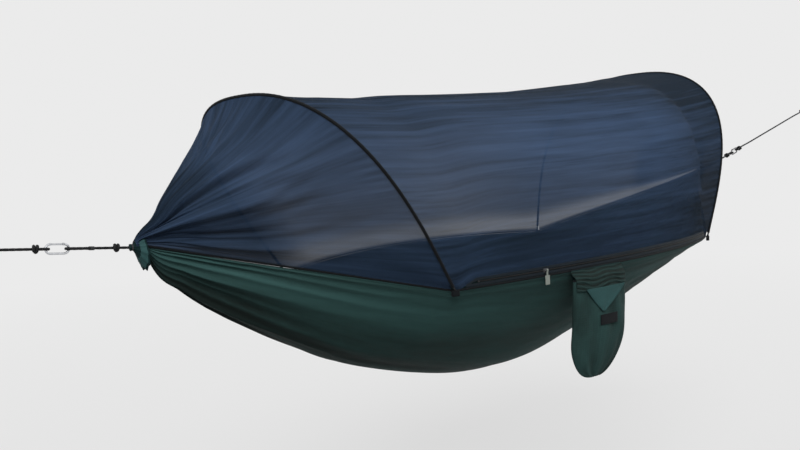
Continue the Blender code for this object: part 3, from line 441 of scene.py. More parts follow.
class Finishes:
    """Every finish of the hammock tent, built once."""

    def __init__(self) -> None:
        """Builds the materials."""
        ripstop, web, cord, moulded = RipstopFinish, WebFinish, CordFinish, MouldedFinish
        self.cloth = ripstop("hammock_ripstop", (0.015, 0.023, 0.021), (0.054, 0.128, 0.122)).material()
        # A lighter copy of the ripstop whose colour paints a highlight; the pouch's flap and the channel
        # bands wear it.
        self.bright = ripstop("bright_ripstop", (0.028, 0.066, 0.068), (0.062, 0.158, 0.156)).material()
        # A darker copy of the ripstop whose colour paints shade; the gathered tails and the pouch's yoke wear
        # it.
        self.shade = ripstop("shaded_ripstop", (0.008, 0.020, 0.022), (0.014, 0.040, 0.040)).material()
        self.net = NetFinish("insect_net", (0.015, 0.025, 0.040), (0.066, 0.116, 0.222)).material()
        self.binding = web("black_binding", (0.004, 0.005, 0.006), (0.014, 0.016, 0.019)).material()
        self.tape = web("zip_tape", (0.008, 0.012, 0.016), (0.024, 0.034, 0.044), rib=0.9 * MM).material()
        self.cord = cord("braided_cord", (0.005, 0.005, 0.006), (0.022, 0.023, 0.025)).material()
        self.grey_cord = cord("splice_cord", (0.030, 0.032, 0.034), (0.10, 0.105, 0.11)).material()
        self.alloy = AlloyFinish("tumbled_alloy", (0.46, 0.47, 0.49), (0.72, 0.73, 0.75)).material()
        dark_alloy = AlloyFinish("dark_alloy", (0.08, 0.08, 0.085), (0.22, 0.22, 0.23), roughness=0.34)
        self.dark_alloy = dark_alloy.material()
        thread = moulded(
            "sewing_thread", (0.010, 0.013, 0.014), (0.022, 0.026, 0.028), roughness=0.8, gloss=0.1
        )
        self.thread = thread.material()
        pole = moulded(
            "coated_pole", (0.008, 0.009, 0.010), (0.024, 0.026, 0.029), roughness=0.36, coat=0.2, gloss=0.25
        )
        self.pole = pole.material()
        plastic = moulded("black_acetal", (0.008, 0.008, 0.009), (0.028, 0.029, 0.030), roughness=0.44)
        self.plastic = plastic.material()
        pull = moulded("pale_pull", (0.24, 0.27, 0.24), (0.38, 0.41, 0.37), roughness=0.5)
        self.pull = pull.material()


# Ramps and curves


def ramp(x: Array, start: float, run: float) -> Array:
    """Nothing before a start, and one from a run past it; a negative run goes the other way."""
    return np.clip((x - start) / run, 0, 1)


def bump(x: Array, middle: float, width: float) -> Array:
    """One at the middle, dying out to both sides over about a width."""
    return np.exp(-(((x - middle) / width) ** 2))


def blunt(wave: Array, power: float) -> Array:
    """A wave between -1 and 1 raised to a power with its sign kept: the smaller the power, the squarer."""
    return np.sign(wave) * np.abs(wave) ** power


def hermite(
    t: Array, span: object, first: object, first_slope: object, last: object, last_slope: object
) -> Array:
    """A smooth curve between two values with given slopes.

    Args:
        t: the share of the way.
        span: how far apart the two are.
        first: the value at the start.
        first_slope: the slope at the start.
        last: the value at the end.
        last_slope: the slope at the end.

    Returns:
        The value at each share.
    """
    return (
        (2 * t**3 - 3 * t**2 + 1) * first
        + (t**3 - 2 * t**2 + t) * span * first_slope
        + (3 * t**2 - 2 * t**3) * last
        + (t**3 - t**2) * span * last_slope
    )


# Meshes


def show(thing: Object) -> Object:
    """Links an object to the scene."""
    bpy.context.scene.collection.objects.link(thing)
    return thing


def mesh_piece(
    name: str, points: Array, faces: Sequence[Sequence[int]], material: Material, flat: Array | None = None
) -> Object:
    """Makes a piece from points in the hammock's own frame.

    Args:
        name: the piece's name.
        points: one row for each point, in the hammock's frame.
        faces: the corners of each face.
        material: its finish.
        flat: each point's place on the flat cloth, in metres.

    Returns:
        The new object, with its place in its mesh.
    """
    mesh = bpy.data.meshes.new(name)
    mesh.from_pydata((points + ORIGIN).tolist(), [], [tuple(int(i) for i in face) for face in faces])
    mesh.polygons.foreach_set("use_smooth", [True] * len(mesh.polygons))
    if flat is not None:
        layer = mesh.uv_layers.new(name="flat")
        corners = np.empty(len(mesh.loops), dtype=np.int32)
        mesh.loops.foreach_get("vertex_index", corners)
        layer.data.foreach_set("uv", flat[corners].astype(np.float32).ravel())
    mesh.materials.append(material)
    mesh.update()
    return show(bpy.data.objects.new(name, mesh))


def grid_faces(
    columns: int, rows: int, offset: int = 0, flip: bool = False, wrap: bool = False
) -> list[tuple[int, ...]]:
    """The faces of a grid of points, with rows + 1 points in each of columns + 1 columns.

    Args:
        columns: faces along the first direction.
        rows: faces along the second direction.
        offset: the number of the first point.
        flip: turns the faces over.
        wrap: joins the last row to the first, where there are only rows points in a column.

    Returns:
        The corners of each face.
    """
    step = rows if wrap else rows + 1
    faces = []
    for i in range(columns):
        for j in range(rows):
            k = (j + 1) % rows if wrap else j + 1
            face = (
                offset + i * step + j,
                offset + (i + 1) * step + j,
                offset + (i + 1) * step + k,
                offset + i * step + k,
            )
            faces.append(face[::-1] if flip else face)
    return faces


def grid_normals(grid: Array, wrap: bool = False) -> Array:
    """The normals of a grid of points, as first direction across second.

    Args:
        grid: points by column and row.
        wrap: whether the rows run round.

    Returns:
        A unit normal for each point.
    """
    first = np.gradient(grid, axis=0)
    if wrap:
        second = np.roll(grid, -1, axis=1) - np.roll(grid, 1, axis=1)
    else:
        second = np.gradient(grid, axis=1)
    normal = np.cross(first, second)
    return normal / np.maximum(np.linalg.norm(normal, axis=2, keepdims=True), 1e-12)


def near_normals(grid: Array) -> Array:
    """The normals of a grid of points, turned to the near side."""
    normal = grid_normals(grid)
    return normal * math.copysign(1.0, -float(normal[..., 1].mean()))


def flat_map(grid: Array, wide: float) -> Array:
    """Places on the flat cloth: the mean distance along the first direction, and an even share across.

    Args:
        grid: points by column and row.
        wide: the flat width of the cloth.

    Returns:
        A place in metres for each point.
    """
    steps = np.linalg.norm(np.diff(grid, axis=0), axis=2).mean(axis=1)
    along = np.concatenate([[0], np.cumsum(steps)])
    across = np.linspace(0, wide, grid.shape[1])
    return np.stack(np.meshgrid(along, across, indexing="ij"), axis=2)


def sheet_piece(
    name: str,
    grid: Array,
    material: Material,
    thickness: float = 0.0,
    wide: float = 1.0,
    flip: bool = False,
) -> Object:
    """A sheet of cloth from a grid of points: a single layer, or a closed one with a thickness.

    Args:
        name: the piece's name.
        grid: points by column and row.
        material: its finish.
        thickness: how thick it is, or zero for one layer.
        wide: the flat width of the cloth.
        flip: turns its faces over.

    Returns:
        The new object.
    """
    columns, rows = grid.shape[0] - 1, grid.shape[1] - 1
    flat = flat_map(grid, wide).reshape(-1, 2)
    if not thickness:
        return mesh_piece(name, grid.reshape(-1, 3), grid_faces(columns, rows, flip=flip), material, flat)
    side = -1.0 if flip else 1.0
    normals = grid_normals(grid) * (side * thickness / 2)
    front, back = (grid + normals).reshape(-1, 3), (grid - normals).reshape(-1, 3)
    count = len(front)
    faces = grid_faces(columns, rows, flip=flip) + grid_faces(columns, rows, count, not flip)
    rim = [i * (rows + 1) for i in range(columns + 1)]
    rim += [columns * (rows + 1) + j for j in range(1, rows + 1)]
    rim += [i * (rows + 1) + rows for i in range(columns - 1, -1, -1)]
    rim += [j for j in range(rows - 1, 0, -1)]
    for a, b in zip(rim, rim[1:] + rim[:1]):
        face = (a, count + a, count + b, b)
        faces.append(face[::-1] if flip else face)
    return mesh_piece(name, np.concatenate([front, back]), faces, material, np.concatenate([flat, flat]))


def mark(piece: Object, name: str, table: Array) -> None:
    """Marks a piece with a value for each point of its grid, and again for its back where it has one."""
    values = np.tile(table.astype(np.float32).ravel(), len(piece.data.vertices) // table.size)
    piece.data.attributes.new(name, "FLOAT", "POINT").data.foreach_set("value", values)


def smooth_line(points: Sequence[Sequence[float]], step: float) -> Array:
    """A finer line through the given points, with even steps along its length.

    Args:
        points: the line's points.
        step: the distance between the new points.

    Returns:
        The new points.
    """
    line = np.array(points, float)
    far = np.linalg.norm(np.diff(line, axis=0), axis=1)
    place = np.concatenate([[0], np.cumsum(far)])
    slope = np.gradient(line, place, axis=0)
    count = max(2, int(math.ceil(place[-1] / step)))
    fine = np.linspace(0, place[-1], count + 1)
    k = np.clip(np.searchsorted(place, fine, side="right") - 1, 0, len(line) - 2)
    span = (place[k + 1] - place[k])[:, None]
    t = (fine - place[k])[:, None] / span
    return hermite(t, span, line[k], slope[k], line[k + 1], slope[k + 1])


def carried_frames(
    line: Array, up: Sequence[float] = (0, 0, 1), closed: bool = False
) -> tuple[Array, Array]:
    """Two directions square to a line, carried along it without twisting.

    Args:
        line: the line's points.
        up: the direction that the first one starts nearest to.
        closed: whether the line is a ring.

    Returns:
        The first and second direction at each point.
    """
    if closed:
        tangents = np.roll(line, -1, axis=0) - np.roll(line, 1, axis=0)
    else:
        tangents = np.gradient(line, axis=0)
    tangents /= np.linalg.norm(tangents, axis=1, keepdims=True)
    first = np.empty_like(line)
    current = np.array(up, float)
    if abs(np.dot(current, tangents[0])) > 0.95:
        current = np.array((0.0, 1.0, 0.0))
    for i, tangent in enumerate(tangents):
        current = current - tangent * np.dot(current, tangent)
        current /= np.linalg.norm(current)
        first[i] = current
    return first, np.cross(tangents, first)


def round_piece(
    name: str,
    line: Array,
    radius: float | Callable[[Array, Array], Array],
    material: Material,
    sides: int = 16,
    closed: bool = False,
    up: Sequence[float] = (0, 0, 1),
    rounded: float = 0.0,
) -> Object:
    """A round cord, tube or binding along a line, with closed ends.

    Args:
        name: the piece's name.
        line: the centre line.
        radius: its radius, or a rule from distance and turn to radius.
        material: its finish.
        sides: points round it.
        closed: whether the line is a ring.
        up: the direction from which its turn is counted.
        rounded: over what length its ends are drawn in to a dome.

    Returns:
        The new object.
    """
    first, second = carried_frames(line, up, closed)
    steps = np.linalg.norm(np.diff(line, axis=0), axis=1)
    along = np.concatenate([[0], np.cumsum(steps)])
    turn = np.linspace(0, TURN, sides, endpoint=False)
    place, swing = np.meshgrid(along, turn, indexing="ij")
    size = radius(place, swing) if callable(radius) else np.full(place.shape, radius)
    if rounded and not closed:
        for near in (along, along[-1] - along):
            share = np.clip(near / rounded, 0, 1)
            size = size * np.sqrt(np.clip(1 - (1 - share) ** 2, 0.02, 1))[:, None]
    rings = (
        line[:, None, :]
        + first[:, None, :] * (np.cos(swing) * size)[..., None]
        + second[:, None, :] * (np.sin(swing) * size)[..., None]
    )
    girth = TURN * float(np.mean(size))
    points = rings.reshape(-1, 3)
    count = len(line)
    faces = []
    for i in range(count if closed else count - 1):
        a, b = i * sides, ((i + 1) % count) * sides
        for j in range(sides):
            k = (j + 1) % sides
            faces.append((a + j, a + k, b + k, b + j))
    if not closed:
        faces.append(tuple(range(sides))[::-1])
        faces.append(tuple((count - 1) * sides + j for j in range(sides)))
    flat = np.stack([place, swing / TURN * girth], axis=2).reshape(-1, 2)
    return mesh_piece(name, points, faces, material, flat)


def spot_noise(places: Array, seed: float) -> Array:
    """Smooth noise about zero for rows of two numbers.

    Args:
        places: one row for each place.
        seed: which noise it is.

    Returns:
        A value from about -1 to 1 for each row.
    """
    return np.array([noise.noise(Vector((float(a), float(b), seed))) for a, b in places]) * 1.7


def noise_grid(columns: Array, rows: Array, scale: Pair, seed: float) -> Array:
    """Smooth noise over a grid, made coarse and then interpolated.

    Args:
        columns: places along the first direction.
        rows: places along the second direction.
        scale: how many bumps there are in a unit of each.
        seed: which noise it is.

    Returns:
        A value for each column and row.
    """
    across = [columns * scale[0], rows * scale[1]]
    coarse = [np.linspace(a.min(), a.max(), max(4, int((a.max() - a.min()) * 5) + 2)) for a in across]
    mesh = np.stack(np.meshgrid(*coarse, indexing="ij"), axis=2)
    table = spot_noise(mesh.reshape(-1, 2), seed).reshape(mesh.shape[:2])
    half = np.array([np.interp(across[1], coarse[1], row) for row in table])
    return np.array([np.interp(across[0], coarse[0], half[:, j]) for j in range(half.shape[1])]).T


# The hammock's form, as the solids have it


@dataclass(frozen=True)
class HammockForm:
    """The hang of the cloth, the line of its hems and the shape of its hoops, in the hammock's own frame."""

    half_span: float = 1.200
    right_rise: float = 0.028
    gather: float = 0.030
    gather_radius: float = 9.6 * MM
    keel_depth: float = 0.473
    keel_stations: tuple[float, ...] = (
        -0.985, -0.93, -0.85, -0.7265, -0.60, -0.4701, -0.1709, 0.1282, 0.4274, 0.7265, 0.8974
    )
    keel_depths: tuple[float, ...] = (
        0.105, 0.232, 0.3754, 0.566, 0.737, 0.8554, 0.995, 0.832, 0.535, 0.262, 0.090
    )
    fold_depth: float = 0.011
    fold_reach: float = 0.17
    folds: int = 5
    foot_reach: float = 0.574
    foot_width: float = 0.343
    mid_width: float = 0.477
    foot_drop: float = 0.162
    mid_drop: float = 0.147
    tip_slope: float = -0.30
    tip_width: float = 0.0105
    hem_radius: float = 2.5 * MM
    hem_lap: float = 0.8 * MM
    hoop_rise: float = 0.582
    squareness: float = 2.44
    bulge: float = 0.295
    lean_left: float = 34.1
    lean_right: float = 16.7
    sleeve_radius: float = 3.95 * MM
    ridge_sag: float = 0.040
    ring_radius: float = 0.0105
    ring_lift: float = 0.004
    ring_back: float = 0.010
    spread: float = 3.0
    grip: float = 3000.0
    grip_power: int = 9
    zip_tape: float = 7.0 * MM
    coil_radius: float = 2.4 * MM
    dip_from: float = 0.522
    dip_to: float = 0.560
    tuck: float = 0.5
    hoop_length: float = 2.06
    tape_stack: float = 1.8

    @property
    def cloth_end(self) -> float:
        """How far the cloth reaches from the middle, short of the gather."""
        return self.half_span - self.gather

    @property
    def arc_rise(self) -> float:
        """How far the hem bows out between the feet."""
        return math.hypot(self.mid_width - self.foot_width, self.foot_drop - self.mid_drop)

    @property
    def arc_radius(self) -> float:
        """The radius of the hem's bow."""
        return (self.foot_reach**2 + self.arc_rise**2) / (2 * self.arc_rise)

    @property
    def foot_slope(self) -> float:
        """How fast the opening narrows at the feet."""
        return -self.foot_reach / math.sqrt(self.arc_radius**2 - self.foot_reach**2)

    @property
    def foot_out(self) -> Array:
        """The level direction out from the hem at the right far foot."""
        out = np.array((-self.foot_slope, 1.0, 0.0))
        return out / np.linalg.norm(out)

    @property
    def foot_standoff(self) -> float:
        """How far a hoop's foot stands out from the hem."""
        return self.hem_radius + self.sleeve_radius + 2 * SEAT

    def tip(self, end: End) -> Array:
        """The end of the gather."""
        rise = self.right_rise if end is End.RIGHT else 0.0
        return np.array((end.value * self.half_span, 0.0, rise))

    def lean(self, end: End) -> float:
        """How far a hoop leans out, in radians."""
        return math.radians(self.lean_left if end is End.LEFT else self.lean_right)

    def foot(self, end: End) -> Array:
        """The middle between a hoop's feet."""
        reach = self.foot_reach + self.foot_out[0] * self.foot_standoff
        return np.array((end.value * reach, 0.0, -self.foot_drop))

    def arc_frame(self, side: Side) -> tuple[Array, Array, Array]:
        """The centre of the hem's bow, the direction out from it, and its upward axis.

        Args:
            side: The long side.

        Returns:
            The three of them, in metres.
        """
        low = np.array((0, side.value * self.foot_width, -self.foot_drop))
        middle = np.array((0, side.value * self.mid_width, -self.mid_drop))
        out = (middle - low) / np.linalg.norm(middle - low)
        return middle - out * self.arc_radius, out, np.cross((1, 0, 0), out) * side.value

    def arc(self, side: Side, x: Array, lift: float = 0.0, proud: float = 0.0) -> Array:
        """Points over the hem's bow.

        Args:
            side: which hem.
            x: distances along the hammock.
            lift: how far above the hem's centre, along the bow's axis.
            proud: how far outside it.

        Returns:
            One point for each distance.
        """
        centre, out, up = self.arc_frame(side)
        angle = np.arcsin(np.clip(np.asarray(x, float) / self.arc_radius, -1, 1))[..., None]
        outward = np.array((1.0, 0, 0)) * np.sin(angle) + out * np.cos(angle)
        return centre + outward * (self.arc_radius + proud) + up * lift

    def edge(self, side: Side, x: Array) -> Array:
        """The centre line of a hem: a round bow between the feet, and a curve to each gather.

        Args:
            side: which hem.
            x: distances along the hammock.

        Returns:
            One point for each distance.
        """
        x = np.clip(np.asarray(x, float), -self.cloth_end, self.cloth_end)
        run = self.cloth_end - self.foot_reach
        u = ramp(np.abs(x), self.foot_reach, run)
        width = hermite(u, run, self.foot_width, self.foot_slope, self.tip_width, self.tip_slope)
        tip = np.where(x > 0, self.right_rise, 0.0)
        outer = np.stack([x, side.value * width, -self.foot_drop + (tip + self.foot_drop) * u], axis=-1)
        return np.where((np.abs(x) <= self.foot_reach)[..., None], self.arc(side, x), outer)

    def keel(self, x: Array) -> Array:
        """The height of the hammock's lowest line, a smooth curve through its stations.

        Args:
            x: distances along the hammock.

        Returns:
            One height for each distance.
        """
        places = np.array((-1, *self.keel_stations, 1)) * self.cloth_end
        depths = [self.keel_depth * share for share in self.keel_depths]
        heights = -np.array((self.gather_radius, *depths, self.gather_radius - self.right_rise))
        slopes = np.gradient(heights, places)
        k = np.clip(np.searchsorted(places, x) - 1, 0, len(places) - 2)
        span = places[k + 1] - places[k]
        return hermite((x - places[k]) / span, span, heights[k], slopes[k], heights[k + 1], slopes[k + 1])

    def cloth(self, x: Array, v: Array) -> Array:
        """Points of the cloth, from the near hem round the keel to the far hem.

        Args:
            x: distances along the hammock.
            v: shares of the way round, from 0 to 1.

        Returns:
            A point for each distance and share.
        """
        hem = self.edge(Side.FAR, x)
        swing = ((v - 0.5) * math.pi)[None, :]
        top = (hem[:, 2] - self.hem_radius - self.hem_lap)[:, None]
        depth = top - self.keel(x)[:, None]
        y = hem[:, 1][:, None] * np.sin(swing)
        z = top - depth * np.clip(np.cos(swing), 0, 1) ** 2
        near = ((self.cloth_end - np.abs(x)) / self.fold_reach)[:, None]
        strength = near**2 * np.exp(2 * (1 - near))
        fold = self.fold_depth * strength * np.cos(TURN * self.folds * v)[None, :]
        fold = fold * np.clip(np.cos(swing), 0, 1) ** 1.5
        across, height = y + fold * np.sin(swing), z - fold * np.cos(swing)
        return np.stack([np.broadcast_to(x[:, None], y.shape), across, height], axis=2)

    def hoop(self, end: End, share: Array) -> Array:
        """Points on a hoop's centre line.

        Args:
            end: whose hoop.
            share: shares of the way from the near foot to the far foot.

        Returns:
            One point for each share.
        """
        swing = np.linspace(0, math.pi, 800)
        power = 2 / self.squareness
        half = self.foot_width + self.foot_out[1] * self.foot_standoff
        across = -blunt(np.cos(swing), power) * (1 + self.bulge * np.sin(swing)) * half
        up = self.hoop_rise * np.abs(np.sin(swing)) ** power
        far = np.concatenate([[0], np.cumsum(np.hypot(np.diff(across), np.diff(up)))])
        far /= far[-1]
        y, rise = np.interp(share, far, across), np.interp(share, far, up)
        lean = self.lean(end)
        foot = self.foot(end)
        x = foot[0] + end.value * rise * math.sin(lean)
        return np.stack([x, y, rise * math.cos(lean) + foot[2]], axis=-1)

    def net_share(self, v: Array) -> Array:
        """The share of the hoop that a net's row meets: all of it but the very feet."""
        lowest = (self.hem_radius + 2 * SEAT) / self.hoop_length
        return np.clip(v, lowest, 1 - lowest)

    def drawn(self, grid: Array, near: Array, far: Array, v: Array, grip: Array) -> Array:
        """Draws a net's two long edges onto the hems.

        Args:
            grid: the net's points by column and row.
            near: where each column's near edge should lie.
            far: where each column's far edge should lie.
            v: the rows' shares.
            grip: how sharply each column is drawn.

        Returns:
            The moved points.
        """
        near_pull = ((1 + np.cos(math.pi * v))[None, :] / 2) ** grip[:, None]
        far_pull = ((1 - np.cos(math.pi * v))[None, :] / 2) ** grip[:, None]
        moved = grid + (near - grid[:, 0])[:, None, :] * near_pull[..., None]
        return moved + (far - grid[:, -1])[:, None, :] * far_pull[..., None]

    def end_net(self, end: End, s: Array, v: Array) -> Array:
        """The net between a gather and its hoop, smooth and taut.

        Args:
            end: which end.
            s: shares of the way from the gather's ring to the hoop.
            v: shares of the way from the near edge to the far edge.

        Returns:
            A point for each column and row.
        """
        on_hoop = self.hoop(end, self.net_share(v))
        swing = math.pi * v
        ring = self.tip(end) + np.stack(
            [
                np.full_like(v, -end.value * self.ring_back),
                -self.ring_radius * np.cos(swing),
                self.ring_lift + self.ring_radius * np.sin(swing),
            ],
            axis=1,
        )
        run = on_hoop - ring
        stop = 1 - self.sleeve_gap(on_hoop, run)
        grid = ring[None] + run[None] * (s[:, None] * stop[None, :])[..., None]
        lift = np.array((0, 0, self.tuck * self.hem_radius))
        near = self.edge(Side.NEAR, grid[:, 0, 0]) + lift
        far = self.edge(Side.FAR, grid[:, -1, 0]) + lift
        near[:, 0], far[:, 0] = grid[:, 0, 0], grid[:, -1, 0]
        return self.drawn(grid, near, far, v, self.spread + self.grip * s ** (2 * self.grip_power))

    def sleeve_gap(self, on_hoop: Array, run: Array) -> Array:
        """How much of a run towards the hoop is left out, so that the net ends inside its sleeve.

        Args:
            on_hoop: Points along the hoop.
            run: The run from each of them.

        Returns:
            The share of each run.
        """
        along = np.gradient(on_hoop, axis=0)
        along /= np.linalg.norm(along, axis=1, keepdims=True)
        length = np.linalg.norm(run, axis=1)
        slant = np.linalg.norm(np.cross(along, run / length[:, None]), axis=1)
        return (1 - self.tuck) * self.sleeve_radius / slant / length

    def mid_net(self, end: End, s: Array, v: Array) -> Array:
        """A half of the middle net, smooth, sagging a little between the hoops.

        Args:
            end: whose hoop.
            s: shares of the way from the middle to the hoop.
            v: shares of the way from the near edge to the far edge.

        Returns:
            A point for each column and row.
        """
        share = self.net_share(v)
        other = End(-end.value)
        here, there = self.hoop(end, share), self.hoop(other, share)
        run = there - here
        first = self.sleeve_gap(here, run)
        t = 0.5 + (first - 0.5)[None, :] * s[:, None]
        slack = 4 * t * (1 - t)
        grid = here[None] + run[None] * t[..., None]
        grid[..., 2] -= self.ridge_sag * slack * np.sin(math.pi * v)[None, :]
        near, far = self.near_foot(grid[:, 0, 0]), self.edge(Side.FAR, grid[:, -1, 0])
        far = far + np.array((0, 0, self.tuck * self.hem_radius))
        return self.drawn(grid, near, far, v, self.spread + self.grip * (1 - slack[:, 0]) ** self.grip_power)

    def near_foot(self, x: Array) -> Array:
        """Where the middle net's near edge lies: in the zip's upper tape, or in the bare hem past it.

        Args:
            x: Places along the hammock.

        Returns:
            A point for each place.
        """
        bare = self.edge(Side.NEAR, x) + np.array((0, 0, self.tuck * self.hem_radius))
        stack = self.hem_radius + self.tape_stack * self.zip_tape + 2 * self.coil_radius + 3 * SEAT
        over = self.arc(Side.NEAR, x, lift=stack)
        dip = ramp(np.abs(x), self.dip_from, self.dip_to - self.dip_from)[:, None]
        return over * (1 - dip) + bare * dip


FORM = HammockForm()


# Rows of stitches, coil turns and other repeats


@dataclass
class RowOf:
    """Repeats one small element along lines, by Geometry Nodes."""

    element: Object
    material: Material
    spacing: float
    wander: float = 0.06
    seed: int = 3

    def tree(self) -> NodeTree:
        """The node tree that sets the element along a line, made once and shared.

        Returns:
            The tree.
        """
        found = bpy.data.node_groups.get("row_along_line")
        if found:
            return found
        tree = bpy.data.node_groups.new("row_along_line", "GeometryNodeTree")
        sockets = {
            "Line": "Geometry", "Element": "Object", "Spacing": "Float", "Least Size": "Float",
            "Greatest Size": "Float", "Seed": "Int", "Finish": "Material",
        }
        for name, kind in sockets.items():
            tree.interface.new_socket(name=name, in_out="INPUT", socket_type=f"NodeSocket{kind}")
        tree.interface.new_socket(name="Row", in_out="OUTPUT", socket_type="NodeSocketGeometry")
        add, link = tree.nodes.new, tree.links.new
        given, result = add("NodeGroupInput"), add("NodeGroupOutput")
        curve = add("GeometryNodeMeshToCurve")
        even = add("GeometryNodeResampleCurve")
        even.mode = "LENGTH"
        out = add("GeometryNodeInputNamedAttribute")
        out.data_type = "FLOAT_VECTOR"
        out.inputs["Name"].default_value = "out"
        along = add("FunctionNodeAlignRotationToVector")
        along.axis = "X"
        facing = add("FunctionNodeAlignRotationToVector")
        facing.axis, facing.pivot_axis = "Z", "X"
        size = add("FunctionNodeRandomValue")
        size.data_type = "FLOAT"
        shape = add("GeometryNodeObjectInfo")
        rows = add("GeometryNodeInstanceOnPoints")
        real, finish = add("GeometryNodeRealizeInstances"), add("GeometryNodeSetMaterial")
        link(given.outputs["Line"], curve.inputs["Mesh"])
        link(curve.outputs["Curve"], even.inputs["Curve"])
        link(given.outputs["Spacing"], even.inputs["Length"])
        link(even.outputs["Curve"], rows.inputs["Points"])
        link(given.outputs["Element"], shape.inputs["Object"])
        link(shape.outputs["Geometry"], rows.inputs["Instance"])
        link(add("GeometryNodeInputTangent").outputs["Tangent"], along.inputs["Vector"])
        link(along.outputs["Rotation"], facing.inputs["Rotation"])
        link(next(o for o in out.outputs if o.enabled and o.name == "Attribute"), facing.inputs["Vector"])
        link(facing.outputs["Rotation"], rows.inputs["Rotation"])
        for word, given_word in (("Min", "Least Size"), ("Max", "Greatest Size")):
            limit = next(i for i in size.inputs if i.enabled and i.name == word)
            link(given.outputs[given_word], limit)
        link(given.outputs["Seed"], size.inputs["Seed"])
        link(next(o for o in size.outputs if o.enabled), rows.inputs["Scale"])
        link(rows.outputs["Instances"], real.inputs["Geometry"])
        link(real.outputs["Geometry"], finish.inputs["Geometry"])
        link(given.outputs["Finish"], finish.inputs["Material"])
        link(finish.outputs["Geometry"], result.inputs["Row"])
        return tree

    def along(self, name: str, lines: Sequence[tuple[Array, Array]]) -> Object:
        """Sets the element along lines and makes the result one plain mesh.

        Args:
            name: the piece's name.
            lines: each line's points and the direction that faces out at each of them.

        Returns:
            The new object.
        """
        points = np.concatenate([line for line, _ in lines]) + ORIGIN
        outs = np.concatenate([np.broadcast_to(out, line.shape) for line, out in lines])
        edges, start = [], 0
        for line, _ in lines:
            edges += [(start + i, start + i + 1) for i in range(len(line) - 1)]
            start += len(line)
        mesh = bpy.data.meshes.new(name + "_line")
        mesh.from_pydata(points.tolist(), edges, [])
        facing = mesh.attributes.new("out", "FLOAT_VECTOR", "POINT")
        facing.data.foreach_set("vector", outs.astype(np.float32).ravel())
        guide = show(bpy.data.objects.new(name + "_line", mesh))
        modifier = guide.modifiers.new("row", "NODES")
        tree = self.tree()
        modifier.node_group = tree
        values = {
            "Element": self.element,
            "Spacing": self.spacing,
            "Least Size": 1 - self.wander,
            "Greatest Size": 1 + self.wander,
            "Seed": self.seed,
            "Finish": self.material,
        }
        for socket in tree.interface.items_tree:
            if socket.in_out == "INPUT" and socket.name in values:
                modifier[socket.identifier] = values[socket.name]
        bpy.context.view_layer.update()
        seen = guide.evaluated_get(bpy.context.evaluated_depsgraph_get())
        row = bpy.data.meshes.new_from_object(seen)
        row.name = name
        row.polygons.foreach_set("use_smooth", [True] * len(row.polygons))
        piece = show(bpy.data.objects.new(name, row))
        bpy.data.objects.remove(guide)
        bpy.data.meshes.remove(mesh)
        return piece


class Elements:
    """The small shapes that rows repeat; each lies along X with Z facing out."""

    @staticmethod
    def bent_thread(name: str, line: Array, radius: float, sides: int, closed: bool = False) -> Object:
        """A short thread along a line, kept out of the scene.

        Args:
            name: The object's name.
            line: The points that it follows.
            radius: The thread's radius.
            sides: The corners of its section.
            closed: Whether its ends meet.

        Returns:
            The thread.
        """
        thread = bpy.data.materials["sewing_thread"]
        piece = round_piece(name, line - ORIGIN, radius, thread, sides, closed)
        bpy.context.scene.collection.objects.unlink(piece)
        return piece

    @staticmethod
    def stitch(long: float = 2.4 * MM, radius: float = 0.24 * MM) -> Object:
        """One lock stitch: a thread that rises out of the cloth and dips back.

        Args:
            long: Its length.
            radius: The thread's radius.

        Returns:
            The thread.
        """
        share = np.linspace(-1, 1, 7)
        height = (1 - share**2) * radius * 1.3 - radius * 0.7
        line = np.stack([share * long / 2, share * 0.0, height], axis=1)
        return Elements.bent_thread("stitch", line, radius, 5)

    @staticmethod
    def coil_turn(radius: float, wire: float) -> Object:
        """One turn of the zip's coil, a ring square to the line with a slight lean.

        Args:
            radius: The coil's radius.
            wire: The wire's radius.

        Returns:
            The turn.
        """
        swing = np.linspace(0, TURN, 14, endpoint=False)
        across, height = radius * 0.92 * np.cos(swing), radius * np.sin(swing)
        line = np.stack([0.22 * wire * np.sin(swing), across, height], axis=1)
        return Elements.bent_thread("coil_turn", line, wire, 5, closed=True)


# The hammock and the net


